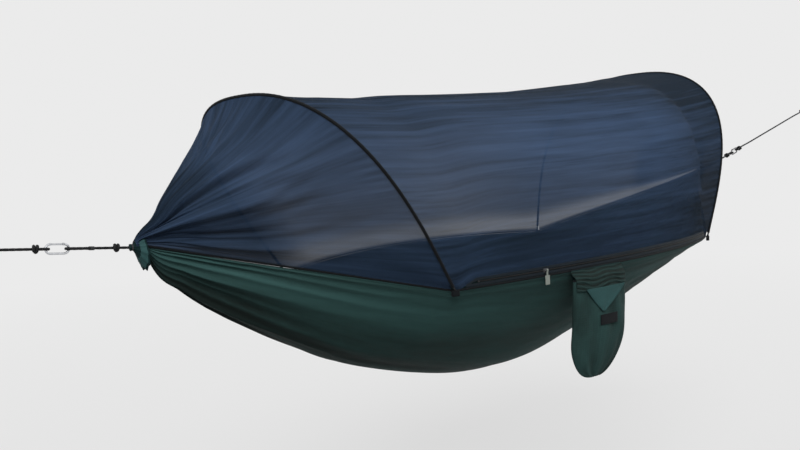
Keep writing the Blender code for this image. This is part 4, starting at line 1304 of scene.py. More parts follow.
@dataclass
class Hammock:
    """The gathered cloth with its pleats, its bound hems and its two bunched ends.

    Each of its wrinkles has a count round the cloth, a share of the depth and a seed.
    """

    finishes: Finishes
    sewing: RowOf
    columns: int = 250
    rows: int = 150
    thickness: float = 1.2 * MM
    flat_wide: float = 1.25
    flat_long: float = 2.52
    flat_area: float = 2.60
    pleats: float = 17.0
    pleat_depth: float = 5.0 * MM
    pleat_reach: float = 0.115
    wrinkle_depth: float = 3.4 * MM
    wrinkles: tuple[Triple, ...] = (
        (6.0, 0.42, 1.0), (10.5, 0.34, 2.0), (19.0, 0.20, 3.0), (33.0, 0.09, 5.0)
    )
    deepest: float = 7.0 * MM
    plain_hem: float = 0.05
    plain_end: float = 0.02
    # Where the painted highlight along one slanting fold lies, and how it slants.
    tone_fold: float = 0.02
    tone_slant: float = 1.9
    hem_pucker: float = 9.0 * MM
    tail_sides: int = 78
    tail_flare: float = 41.0 * MM
    right_flare: float = 0.5
    tail_waist: float = 6.6 * MM
    tail_lean: float = 0.45
    cone_long: float = 0.84
    cone_power: float = 1.3
    tip_flare: float = 1.6 * MM
    tail_folds: float = 6.5
    tail_fold_depth: float = 0.10
    whip_thread: float = 0.405 * MM
    whip_turns: int = 6
    whip_from: float = 0.82
    whip_long: float = 0.12
    band_from: float = 0.10
    band_to: float = 0.44
    body: str = "hammock"

    def stations(self) -> Array:
        """Distances along the hammock for the cloth's columns, closer at the gathers."""
        share = np.linspace(-1, 1, self.columns + 1)
        return (FORM.cloth_end - SEAT) * (1.28 * share - 0.28 * share**3)

    def creases(self, x: Array, v: Array) -> Array:
        """How far the cloth stands out from its smooth hang.

        Args:
            x: the columns' distances along the hammock.
            v: the rows' shares of the way round.

        Returns:
            A distance in metres for each column and row.
        """
        left, right = FORM.cloth_end + x, FORM.cloth_end - x
        near = np.minimum(left, right) / self.pleat_reach
        strength = near * np.exp(1 - near)
        drift = noise_grid(x, v, (2.2, 3.0), 4.0) * 0.035
        phase = v[None, :] + drift
        ridge = 1 - 1.7 * np.abs(np.sin(math.pi * self.pleats * phase)) ** 0.75
        strong = 0.75 + 0.55 * noise_grid(x, v, (3.0, 9.0), 11.0)
        depth = self.pleat_depth * strength[:, None] * ridge * strong
        tension = np.zeros_like(depth)
        for count, share, seed in self.wrinkles:
            wander = noise_grid(x, v, (1.1, 1.3), seed) * 0.11
            swell = np.clip(0.55 + 0.9 * noise_grid(x, v, (1.6, count * 0.35), seed + 20), 0, 1.6)
            tension += share * np.sin(TURN * count * (v[None, :] + wander)) * swell
        calm = np.clip(1.15 - 0.55 * np.abs(x[:, None]) ** 2, 0.5, 1.2)
        depth += self.wrinkle_depth * tension * calm * ramp(near, 0, 1.2)[:, None]
        hems = ramp(np.minimum(v, 1 - v), 0, self.plain_hem) ** 1.3
        start = ramp(np.minimum(left, right), 0, self.plain_end)
        return depth * hems[None, :] * start[:, None]

    def tones(self, x: Array, v: Array, depth: Array) -> Array:
        """The cloth's painted light and shade: painted highlights in a band under each hem, strongest to the
        left, along streaks, on the crests of its wrinkles and along one slanting fold, and painted shade at
        the keel and in the troughs.

        Args:
            x: the columns' distances along the hammock.
            v: the rows' shares of the way round.
            depth: how far the cloth stands out.

        Returns:
            A tone for each column and row.
        """
        side = bump(np.minimum(v, 1 - v), 0.15, 0.10)[None, :]
        left = ramp(x, 0.35, -1.1)[:, None]
        keel = bump(v, 0.5, 0.17)[None, :]
        streaks = noise_grid(x, v, (1.0, 12.0), 210.0) + 0.6 * noise_grid(x, v, (1.3, 27.0), 214.0)
        crests = np.clip(depth / self.wrinkle_depth, -1, 1)
        slant = x[:, None] + self.tone_slant * (v[None, :] - 0.2)
        fold = bump(slant, self.tone_fold, 0.05) * bump(v, 0.2, 0.1)[None, :]
        # Painted highlights under the hems, on streaks, on crests and along one fold; painted shade at the
        # keel and in the troughs.
        return side * (0.08 + 0.44 * left) - 0.36 * keel + 0.26 * streaks + 0.14 * crests + 0.16 * fold

    def build(self) -> list[Object]:
        """Builds the cloth, the hems and the gathers.

        Returns:
            The cloth's own piece first, then the others.
        """
        x, v = self.stations(), np.linspace(0, 1, self.rows + 1)
        base = FORM.cloth(x, v)
        out = -grid_normals(base)
        depth = self.creases(x, v)
        surface = base + out * np.clip(depth, -self.deepest, self.deepest)[..., None]
        cloth = sheet_piece("hammock_cloth", surface, self.finishes.cloth, self.thickness, self.flat_wide)
        # The cloth is marked with its painted light and shade.
        mark(cloth, "tone", self.tones(x, v, depth))
        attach(cloth, self.body)
        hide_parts("hammock_body")
        pieces = [cloth]
        for side in Side:
            pieces += self.hem(side)
        for end in End:
            pieces += self.gathered_end(end)
        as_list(pieces[1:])
        return pieces

    def hem(self, side: Side) -> list[Object]:
        """The bound edge of the opening on one side, with its row of stitches.

        Args:
            side: which edge.

        Returns:
            The binding and the stitches.
        """
        x = self.stations()
        line = FORM.edge(side, x)
        sag = noise_grid(x, np.array((0.0, 1.0)), (14.0, 1.0), 30.0 + side.value)[:, 0]

        def girth(place: Array, swing: Array) -> Array:
            """The binding's radius: slightly flattened, with soft puckers."""
            wave = np.sin(place * TURN / self.hem_pucker)
            pucker = 0.05 * wave * (0.5 + 0.5 * np.sin(place * 31))
            return FORM.hem_radius * (0.97 + 0.04 * np.cos(2 * swing) + pucker * 0.5 + 0.02 * sag[:, None])

        name, finish = f"hem_binding_{side.word}", self.finishes.binding
        binding = round_piece(name, line, girth, finish, 14, up=(0, side.value, 0))
        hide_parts(f"hem_{side.word}")
        first, _ = carried_frames(line, (0, side.value, 0))
        seam = line + first * FORM.hem_radius
        stitches = self.sewing.along(f"hem_stitches_{side.word}", [(seam, first)])
        return settle([binding, stitches], self.body)

    def gathered_end(self, end: End) -> list[Object]:
        """The bunched end of the cloth, its whipping, and the channel band beside it; the bunch wears the
        darker copy of the ripstop, which paints shade, and the band the lighter copy, which paints a
        highlight.

        Args:
            end: which end.

        Returns:
            The bunch, the whipping and the band.
        """
        tip = FORM.tip(end)
        root = tip - np.array((end.value * FORM.gather, 0, 0))
        flare = self.tail_flare * (1.0 if end is End.LEFT else self.right_flare)

        def on_line(share: Array) -> Array:
            """Points between the gather's root and its tip."""
            return root + (tip - root) * share[:, None]

        def bunch(place: Array, swing: Array) -> Array:
            """The bunch's radius: a pleated cone, fuller below, drawn in at the whipping near the tip."""
            share = place / FORM.gather
            lean = 1 - self.tail_lean * np.cos(swing) - self.tail_lean * np.sin(swing) ** 2
            reach = np.clip(1 - share / self.cone_long, 0, 1) ** self.cone_power
            cone = (flare - self.tail_waist) * reach * lean
            tip_flare = self.tip_flare * ramp(share, 0.93, 0.07)
            fold = np.abs(np.sin(self.tail_folds * swing + 0.9 * share + 0.7 * np.sin(2 * swing)))
            return (self.tail_waist + cone + tip_flare) * (1.0 - self.tail_fold_depth * fold**1.4)

        def channel(place: Array, swing: Array) -> Array:
            """The band's radius, just outside the bunch's root."""
            return bunch(place + self.band_from * FORM.gather, swing) * 1.03 + 0.5 * MM

        line = on_line(np.linspace(0, 1, 40))
        # The bunch's darker copy of the ripstop is painted shade.
        gather = round_piece(f"gathered_tail_{end.word}", line, bunch, self.finishes.shade, self.tail_sides)
        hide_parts(f"gather_{end.word}")
        turns = np.linspace(0, self.whip_turns * TURN, self.whip_turns * 20)
        ring = np.stack([turns * 0, np.cos(turns), np.sin(turns)], axis=1)
        middle = on_line(self.whip_from + self.whip_long * turns / turns[-1])
        coil = middle + ring * (self.tail_waist + 0.4 * MM)
        thread = self.finishes.grey_cord
        whipping = round_piece(f"tail_whipping_{end.word}", coil, self.whip_thread, thread, 7)
        band_line = on_line(np.linspace(self.band_from, self.band_to, 16))
        # The band's lighter copy of the ripstop is painted highlight.
        name, finish = f"channel_band_{end.word}", self.finishes.bright
        band = round_piece(name, band_line, channel, finish, self.tail_sides)
        return settle([gather, whipping, band], self.body)


@dataclass(frozen=True)
class NetTone:
    """How bunched one end's nets are, and how much painted shade darkens them: by the gather, over the ridge,
    at the hem and by the hoop.
    """

    bunched: float
    shade: float
    fan_shade: float
    crown: float
    foot: float
    hoop_bunched: float
    hoop_shade: float
    hoop_reach: float
    ruffle: float


NET_TONES = {
    End.LEFT: NetTone(
        bunched=0.48, shade=0.18, fan_shade=0.26, crown=0.36, foot=0.16,
        hoop_bunched=0.30, hoop_shade=0.08, hoop_reach=0.16, ruffle=1.0,
    ),
    End.RIGHT: NetTone(
        bunched=0.62, shade=0.55, fan_shade=0.0, crown=1.05, foot=0.46,
        hoop_bunched=0.60, hoop_shade=0.44, hoop_reach=0.45, ruffle=1.5,
    ),
}


@dataclass
class Canopy:
    """The insect net: one drawn to each gather, and two halves between the hoops.

    Each of its waves has a count across the net and a depth in millimetres. Its edges and its
    strip are given as the share where they start and the run over which they come in.
    """

    finishes: Finishes
    rows: int = 400
    end_columns: int = 80
    mid_columns: int = 64
    end_flat: Pair = (1.45, 0.66)
    end_area: float = 0.55
    mid_flat: Pair = (1.95, 0.95)
    mid_area: float = 1.35
    ruffle: float = 2.4 * MM
    ruffles: float = 78.0
    end_waves: tuple[Pair, ...] = ((5.0, 8.0), (9.5, 6.0), (17.0, 4.0), (31.0, 1.8))
    mid_waves: tuple[Pair, ...] = ((4.0, 4.5), (8.0, 3.0), (15.0, 1.5), (27.0, 0.7))
    cover: float = 0.84
    full_cover: float = 0.99
    # The net's painted light and shade: a base tone, painted shade over the ridge (crown) and at the near
    # edge (foot), and painted light towards the far edge and in the strip (light).
    tone: float = 0.88
    crown: float = 1.05
    foot: float = 0.46
    light: float = 0.12
    ridge_wide: float = 0.20
    near_edge: Pair = (0.22, -0.14)
    far_edge: Pair = (0.66, 0.20)
    strip_start: Pair = (0.935, 0.035)
    strip_stop: Pair = (0.995, -0.004)
    strip_smooth: float = 0.6
    ridge_cover: float = 0.11
    near_open: float = 0.08
    far_open: float = 0.09
    strip_open: float = 0.36
    end_sag: float = 16.0 * MM
    tip_sag: float = 12.0 * MM

    def sway_path(self, end: End, hem: float, hoop: float, away: Array) -> tuple[Array, Array]:
        """Where a net stops following the cloth and where it follows its hoop.

        Args:
            end: whose hoop.
            hem: how fast the share falls along the hem away from the foot.
            hoop: how fast it grows along the hoop.
            away: the direction of the hem from the foot.

        Returns:
            The start and the end of the change.
        """
        lean = FORM.lean(end)
        up = np.array((end.value * math.sin(lean), math.cos(lean)))
        along = np.array((away[0], away[2])) / math.hypot(away[0], away[2])
        rule = np.linalg.solve(np.array((along, up)), np.array((-hem, hoop)))
        step = np.array((rule[0], 0.0, rule[1])) / float(rule @ rule)
        foot = FORM.foot(end) + ORIGIN
        return foot - step * 0.5, foot + step * 0.5

    def marks(
        self, piece: Object, v: Array, bunched: Array, shade: Array, crown: float, foot: float
    ) -> None:
        """Marks how much of the view the net's threads cover, and their painted light and shade.

        Args:
            piece: the net.
            v: the rows' shares from the near edge to the far edge.
            bunched: each column's share of bunching, from 0 to 1.
            shade: how much painted shade darkens each column.
            crown: how much painted shade darkens the ridge.
            foot: how much painted shade darkens the near edge.
        """
        ridge = bump(v, 0.50, self.ridge_wide)
        near = ramp(v, *self.near_edge)
        far = ramp(v, *self.far_edge)
        strip = ramp(v, *self.strip_start) ** 1.3 * ramp(v, *self.strip_stop)
        plain = self.cover + self.ridge_cover * ridge - self.near_open * near
        plain = plain - self.far_open * far - self.strip_open * strip
        smooth = (1 - self.strip_smooth * strip)[None, :]
        rest = (self.full_cover - plain)[None, :] * bunched[:, None] * smooth
        # Painted shade over the ridge, at the near edge and in each shaded column; painted light towards the
        # far edge and in the strip.
        tone = self.tone - crown * ridge - foot * near + self.light * far + self.light * strip
        mark(piece, "cover", plain[None, :] + rest)
        mark(piece, "tone", tone[None, :] - shade[:, None])

    def waves(self, along: Array, v: Array, table: tuple[Pair, ...], seeds: Pair, bumps: Pair) -> Array:
        """Long creases that wander and swell.

        Args:
            along: the columns' places along the creases.
            v: the rows' shares.
            table: the count and the depth in millimetres of each wave.
            seeds: the first seed of their wander and of their swell.
            bumps: how many bumps along them their wander and their swell have.

        Returns:
            A depth in metres for each column and row.
        """
        crease = np.zeros((len(along), len(v)))
        for k, (count, depth) in enumerate(table):
            drift = noise_grid(along, v, (bumps[0], 2.0), seeds[0] + k) * 0.06
            swell = np.clip(0.5 + noise_grid(along, v, (bumps[1], count * 0.5), seeds[1] + k), 0, 1.5)
            crease += depth * MM * np.sin(TURN * count * (v[None, :] + drift)) * swell
        return crease

    def ruffled(self, end: End, grid: Array, s: Array, v: Array, toward: float) -> Array:
        """Small gathers where the net is sewn to its hoop, dying out away from it.

        Args:
            end: whose hoop.
            grid: the net's points, whose last column lies on the hoop.
            s: the columns' shares.
            v: the rows' shares.
            toward: which side of the hoop the net is on, to tell their noise apart.

        Returns:
            A height in metres for each column and row.
        """
        far = np.linalg.norm(grid - grid[-1][None], axis=2)
        envelope = ramp(far, 0, 0.012) * np.exp(-far / 0.040)
        drift = noise_grid(s, v, (2.0, 5.0), 60.0 + end.value + toward) * 0.010
        swell = noise_grid(s, v, (1.0, 16.0), 70.0 + end.value + toward)
        swell = np.clip(0.55 + 0.8 * swell, 0.05, 1.5)
        wave = np.sin(TURN * self.ruffles * (v[None, :] + drift))
        height = self.ruffle * NET_TONES[end].ruffle
        return height * wave * envelope * swell * np.sin(math.pi * v)[None, :] ** 0.4

    def end_piece(self, end: End) -> Object:
        """The net between a gather and its hoop, creased where it fans out of the gather.

        Args:
            end: which end.

        Returns:
            The net.
        """
        v = np.linspace(0, 1, self.rows + 1)
        s = np.linspace(0, 1, self.end_columns + 1) ** 1.35
        grid = FORM.end_net(end, s, v)
        out = grid_normals(grid) * (1.0 if end is End.LEFT else -1.0)
        envelope = np.clip(s * 9, 0, 1) * np.clip((1 - s) * 2.6, 0, 1) ** 0.8
        seed = 40.0 + 7 * end.value
        crease = self.waves(s, v, self.end_waves, seeds=(seed, seed + 9), bumps=(1.2, 1.5))
        crease *= envelope[:, None] * ramp(np.minimum(v, 1 - v), 0, 0.07)[None, :]
        crease += self.ruffled(end, grid, s, v, toward=1.0) * 0.7
        hang = self.end_sag * 6.75 * s**2 * (1 - s)
        tip = self.tip_sag * bump(s, 0.15, 0.09) * ramp(s, 0, 0.05)
        crease -= (hang + tip)[:, None] * np.sin(math.pi * v)[None, :]
        grid = grid + out * crease[..., None]
        name, flip = f"net_end_cloth_{end.word}", end is End.RIGHT
        piece = sheet_piece(name, grid, self.finishes.net, wide=self.end_flat[0], flip=flip)
        tone = NET_TONES[end]
        fan = ramp(s, 0.58, -0.16)
        if end is End.LEFT:
            bunched = tone.bunched + (1 - tone.bunched) * fan
        else:
            bunched = np.maximum(fan, tone.bunched)
        # Painted shade over the end net, more where it fans out of the gather.
        self.marks(piece, v, bunched, tone.fan_shade * fan + tone.shade, tone.crown, tone.foot)
        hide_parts(f"net_end_{end.word}")
        away = FORM.tip(end) - FORM.foot(end)
        start, stop = self.sway_path(end, hem=1.2, hoop=2.0, away=away)
        return self.finish(piece, end, start, stop, self.end_flat, self.end_area)

    def mid_piece(self, end: End) -> Object:
        """A half of the net between the hoops, drawn in long soft creases.

        Args:
            end: whose hoop.

        Returns:
            The net.
        """
        v = np.linspace(0, 1, self.rows + 1)
        s = 1 - (1 - np.linspace(0, 1, self.mid_columns + 1)) ** 1.5
        grid = FORM.mid_net(end, s, v)
        out = grid_normals(grid) * (-1.0 if end is End.LEFT else 1.0)
        along = grid[:, len(v) // 2, 0]
        crease = self.waves(along, v, self.mid_waves, seeds=(90.0, 95.0), bumps=(0.9, 1.1))
        taut = ramp(np.linalg.norm(grid - grid[-1][None], axis=2), 0, 0.10)
        crease *= taut * ramp(np.minimum(v, 1 - v), 0, 0.06)[None, :]
        crease += self.ruffled(end, grid, s, v, toward=0.0)
        grid = grid + out * crease[..., None]
        name, flip = f"net_mid_cloth_{end.word}", end is End.RIGHT
        piece = sheet_piece(name, grid, self.finishes.net, wide=self.mid_flat[0], flip=flip)
        tone = NET_TONES[end]
        # Painted shade where the net bunches by the hoop.
        hooped = bump(s, 1, tone.hoop_reach)
        self.marks(piece, v, tone.hoop_bunched * hooped, tone.hoop_shade * hooped, self.crown, self.foot)
        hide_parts(f"net_mid_{end.word}")
        start, stop = self.sway_path(end, hem=1.6, hoop=1.6, away=np.array((-end.value, 0.0, 0.0)))
        return self.finish(piece, end, start, stop, self.mid_flat, self.mid_area)

    def finish(self, piece: Object, end: End, start: Array, stop: Array, flat: Pair, area: float) -> Object:
        """Args:
            piece: the net.
            end: whose hoop; not used.
            start: where it stops following the cloth; not used.
            stop: where it follows the hoop; not used.
            flat: its flat size; not used.
            area: its flat area; not used.

        Returns:
            The net.
        """
        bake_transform(piece)
        return piece

    def build(self) -> list[Object]:
        """Builds the four pieces of net."""
        return [self.end_piece(end) for end in End] + [self.mid_piece(end) for end in End]


@dataclass
class Hoop:
    """The sewn sleeve round a sprung pole, with its two rows of stitches."""

    end: End
    finishes: Finishes
    sewing: RowOf
    sleeve_lift: float = 12.0 * MM
    ring_pitch: float = 0.017
    points: int = 360

    def build(self) -> list[Object]:
        """Builds the sleeve and its stitches.

        Returns:
            The sleeve and the stitches.
        """
        word = self.end.word
        line = FORM.hoop(self.end, np.linspace(0, 1, self.points))
        far = np.concatenate([[0], np.cumsum(np.linalg.norm(np.diff(line, axis=0), axis=1))])
        kept = (far > self.sleeve_lift) & (far < far[-1] - self.sleeve_lift)
        line = smooth_line(line[kept][::4], 4.0 * MM)

        def girth(place: Array, swing: Array) -> Array:
            """The sleeve's radius: cloth drawn up on the pole in small soft rings."""
            turn = place * TURN / self.ring_pitch
            ring = np.sin(turn + 1.3 * np.sin(place * 23) + 0.4 * np.cos(swing))
            return FORM.sleeve_radius * (0.965 + 0.035 * ring)

        name, finish = f"hoop_sleeve_cloth_{word}", self.finishes.binding
        sleeve = round_piece(name, line, girth, finish, 14, up=(1, 0, 0))
        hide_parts(f"hoop_sleeve_{word}")
        lean = FORM.lean(self.end)
        normal = np.array((math.cos(lean) * self.end.value, 0, -math.sin(lean)))
        outs = np.broadcast_to(normal, line.shape)
        rows = [(line + sign * outs * FORM.sleeve_radius * 0.99, sign * outs) for sign in (1, -1)]
        stitches = self.sewing.along(f"sleeve_stitches_{word}", rows)
        return settle([sleeve, stitches], f"hoop_{word}")


# The rope ends


@dataclass
class RopeEnd:
    """A strop from the gather to a carabiner, and the anchor rope beyond it, with their eyes and knots."""

    end: End
    finishes: Finishes
    angle: float
    knot_at: float
    eye_from: float
    eye_long: float
    rope_to: float
    strop_length: float
    rope_length: float
    whip_long: float
    radius: float = 3.0 * MM
    wire: float = 2.5 * MM
    carabiner: float = 0.052
    rope_eye: float = 0.016
    anchor_long: float = 0.100
    anchor_bend: float = 0.021
    knot_turns: float = 1.5
    eye_lead: float = 14.0 * MM
    step: float = 1.2 * MM
    thread: float = 0.55 * MM
    body: str = "hammock"

    @property
    def out(self) -> Array:
        """The direction of the rope, away from the hammock."""
        return np.array((self.end.value * math.cos(self.angle), 0, math.sin(self.angle)))

    @property
    def rise(self) -> Array:
        """The direction square to the rope, upward."""
        return np.array((-self.end.value * math.sin(self.angle), 0, math.cos(self.angle)))

    def place(self, reach: float) -> Array:
        """A point on the rope's line, by its distance from the gather."""
        return FORM.tip(self.end) + self.out * reach

    def braid(self, radius: float) -> Callable[[Array, Array], Array]:
        """The relief of a braided sheath on a cord of this radius.

        Args:
            radius: The cord's radius.

        Returns:
            A rule from place and turn to radius.
        """

        def rule(place: Array, swing: Array) -> Array:
            """The braid's radius at a distance and a turn."""
            lay = place * TURN / (radius * 4.4)
            left, right = np.cos(4 * swing + lay), np.cos(4 * swing - lay)
            return radius * (0.925 + 0.075 * np.clip(np.maximum(left, right), -0.2, 1))

        return rule

    def loop(self, neck: float, long: float, bend: float, direction: int = 1) -> Array:
        """An open loop's centre line: side by side at its neck, straight legs and a round bight.

        Args:
            neck: the neck's distance from the gather.
            long: how long the loop is.
            bend: the radius of its bight.
            direction: 1 away from the hammock, -1 towards it.

        Returns:
            The line's points.
        """
        leg = self.radius + SEAT / 2
        centre = long - bend
        lean = math.asin(bend / math.hypot(centre, leg)) - math.atan2(leg, centre)
        half = [(0.0, leg)]
        first = (centre - bend * math.sin(lean), bend * math.cos(lean))
        for share in (0.25, 0.5, 0.75):
            half.append((first[0] * share, leg + (first[1] - leg) * share))
        for k in range(13):
            swing = (math.pi / 2 + lean) * (1 - k / 12)
            half.append((centre + bend * math.cos(swing), bend * math.sin(swing)))
        both = half + [(along, -across) for along, across in reversed(half[:-1])]
        base, out = self.place(neck), self.out * direction
        return np.array([base + out * along + np.array((0, across, 0)) for along, across in both])

    def cord_piece(self, name: str, line: Array) -> Object:
        """A braided cord along a line, with its ends sealed round."""
        rule, up = self.braid(self.radius), tuple(self.rise)
        piece = round_piece(name, line, rule, self.finishes.cord, 20, up=up, rounded=self.radius)
        return settle([piece], self.body)[0]

    def knot(self, name: str, start: float, node: str) -> Object:
        """A wrapped knot: turns of the tail laid side by side round the rope.

        Args:
            name: the piece's name.
            start: the knot's distance from the gather.
            node: the solid that it replaces.

        Returns:
            The knot.
        """
        ring = 2 * self.radius + SEAT
        pitch = 2 * self.radius + 2 * SEAT
        turn = np.linspace(0, TURN * self.knot_turns, 60)
        along = start + self.radius + pitch * turn / TURN
        line = np.array([self.place(a) for a in along])
        across = np.array((0.0, 1.0, 0.0))
        line = line + (across * np.cos(turn)[:, None] + self.rise * np.sin(turn)[:, None]) * ring
        last = line[-1] - line[-2]
        tail = line[-1] + last / np.linalg.norm(last) * np.linspace(0.3, 1, 4)[:, None] * self.radius * 2
        piece = self.cord_piece(name, smooth_line(np.concatenate([line, tail]), 0.7 * MM))
        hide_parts(node)
        return piece

    def build(self) -> list[Object]:
        """Builds the strop, the anchor rope, their eyes, knots and whippings.

        Returns:
            The pieces.
        """
        word = self.end.word
        bend = self.wire + self.radius + SEAT
        root, last = SEAT + self.radius * self.out[2], self.eye_from - self.eye_lead
        straight = [self.place(a) for a in np.linspace(root, last, 6)]
        strop_eye = self.loop(self.eye_from, self.eye_long, bend)
        strop_line = smooth_line(np.concatenate([straight, strop_eye]), self.step)
        strop = self.cord_piece(f"strop_cord_{word}", strop_line)
        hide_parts(f"strop_{word}", f"strop_eye_{word}")
        strop_knot = self.knot(f"strop_wrap_{word}", self.knot_at, f"strop_knot_{word}")

        start = self.eye_from + self.eye_long - bend
        neck = start + self.carabiner - 2 * self.wire - bend + self.rope_eye
        eye = self.loop(neck, self.rope_eye, bend, direction=-1)
        stops = np.linspace(neck + self.eye_lead, self.rope_to - self.eye_lead, 8)
        run = [self.place(a) for a in stops]
        anchor = self.loop(self.rope_to, self.anchor_long, self.anchor_bend)
        rope_line = smooth_line(np.concatenate([eye, run, anchor]), self.step)
        rope = self.cord_piece(f"anchor_rope_{word}", rope_line)
        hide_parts(f"rope_{word}", f"rope_eye_{word}", f"anchor_loop_{word}")
        knot_long = (self.knot_turns + 1) * (2 * self.radius + 2 * SEAT)
        rope_knot = self.knot(f"rope_wrap_{word}", neck + 1 * MM, f"rope_knot_{word}")
        knot_at = self.rope_to - knot_long - 1 * MM
        end_knot = self.knot(f"anchor_wrap_{word}", knot_at, f"anchor_knot_{word}")
        splice = self.whipping(f"eye_whipping_{word}", self.eye_from + 1 * MM, self.whip_long)

        log.info("%s strop %.4f m, anchor rope %.4f m", word, path_length(strop_line), path_length(rope_line))
        return [strop, strop_knot, splice, rope, rope_knot, end_knot]

    def whipping(self, name: str, start: float, long: float) -> Object:
        """A wound thread that holds the two legs of an eye together at its neck.

        Args:
            name: the piece's name.
            start: its distance from the gather.
            long: how long it is.

        Returns:
            The whipping.
        """
        pitch = 2.1 * self.thread
        turns = max(3, round(long / pitch))
        swing = np.linspace(0, TURN * turns, turns * 28)
        along = start + pitch * swing / TURN
        leg = self.radius + SEAT / 2
        wide = leg + self.radius + self.thread + 1.6 * MM * (along - start) / long
        line = np.array([self.place(a) for a in along])
        y = blunt(np.cos(swing), 0.75) * wide
        z = blunt(np.sin(swing), 0.75) * (self.radius + self.thread)
        line = line + np.array((0.0, 1.0, 0.0)) * y[:, None] + self.rise * z[:, None]
        piece = round_piece(name, line, self.thread, self.finishes.grey_cord, 7)
        return settle([piece], self.body)[0]


# The feet, the zip and the pouch


@dataclass
class FootPocket:
    """A stitched pocket beside the hem, with the long well that a pole's cap stands and tips in.

    Its outside has rings, each at a share of its depth and of its full size, of which the last
    lies on its rim. Those of its well are each at a height in millimetres and a share of its width.
    """

    end: End
    side: Side
    finishes: Finishes
    sewing: RowOf
    long: float = 10.0 * MM
    inner: float = 4.4 * MM
    outer: float = 5.15 * MM
    drop: float = 12.0 * MM
    rim: float = 2.0 * MM
    well: float = 4.2 * MM
    sway_room: float = 1.26
    floor_room: float = 1.04
    outside: tuple[Pair, ...] = (
        (-1, 0.0), (-1, 0.55), (-0.985, 0.86), (-0.93, 0.97),
        (-0.6, 1.0), (-0.2, 1.0), (0.07, 0.995), (0.15, 0.985),
    )
    inside: tuple[Pair, ...] = (
        (2.0, 1.09), (1.0, 1.05), (0.0, 1.01), (-2.0, 0.93), (-3.4, 0.68), (-4.4, 0.0)
    )
    points: int = 40

    def build(self) -> list[Object]:
        """Builds the pocket and its two bars of stitches, and dresses the cap.

        Returns:
            The pocket and the stitches.
        """
        name = f"{self.end.word}_{self.side.word}"
        lowest = (0.0, 0.02) if self.side is Side.NEAR else (1.0, 0.98)
        line = FORM.hoop(self.end, np.array(lowest))
        foot, axis = line[0], (line[1] - line[0]) / np.linalg.norm(line[1] - line[0])
        out = FORM.foot_out * np.array((self.end.value, self.side.value, 0))
        along = np.array((out[1], -out[0], 0.0))
        turn = np.linspace(0, TURN, self.points, endpoint=False)
        wide = (self.outer + self.inner) / 2
        centre = foot + out * ((self.outer - self.inner) / 2)
        rings = []
        for height, size in self.outside:
            z = self.rim if (height, size) == self.outside[-1] else self.drop * height
            pucker = size * (1 + 0.02 * np.sin(9 * turn + 40 * height))
            a = blunt(np.cos(turn), 0.55) * self.long * pucker
            b = blunt(np.sin(turn), 0.7) * wide * pucker
            rings.append(centre + along * a[:, None] + out * b[:, None] + np.array((0, 0, z)))
        for height, size in self.inside:
            middle = foot + axis * (max(height, 0.0) * MM / axis[2])
            room = self.sway_room if height >= 0 else self.floor_room
            circle = room * along * np.cos(turn)[:, None] + out * np.sin(turn)[:, None]
            rings.append(middle + circle * self.well * size + np.array((0, 0, min(height, 0.0) * MM)))
        flat = flat_map(np.array(rings), TURN * 7 * MM).reshape(-1, 2)
        faces = grid_faces(len(rings) - 1, self.points, wrap=True, flip=True)
        cloth = self.finishes.binding
        pocket = mesh_piece(f"foot_pocket_cloth_{name}", np.concatenate(rings), faces, cloth, flat)
        tidy_mesh(pocket)
        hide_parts(f"foot_pocket_{name}")
        rows = []
        for across in (-0.72, 0.72):
            start = centre + out * (wide + 0.05 * MM) + along * (self.long * across)
            column = start + np.array((0, 0, 1.0)) * np.linspace(-0.86, -0.02, 12)[:, None] * self.drop
            rows.append((column - out * (abs(across) ** 8 * wide * 0.1), out))
        bars = self.sewing.along(f"foot_pocket_stitches_{name}", rows)
        wear(f"pole_cap_{name}", self.finishes.plastic)
        return settle([pocket, bars], "hammock")


class Tape(Named):
    """The two tapes of the zip, by the row of each grid that is sewn."""

    LOWER = 2
    UPPER = 5


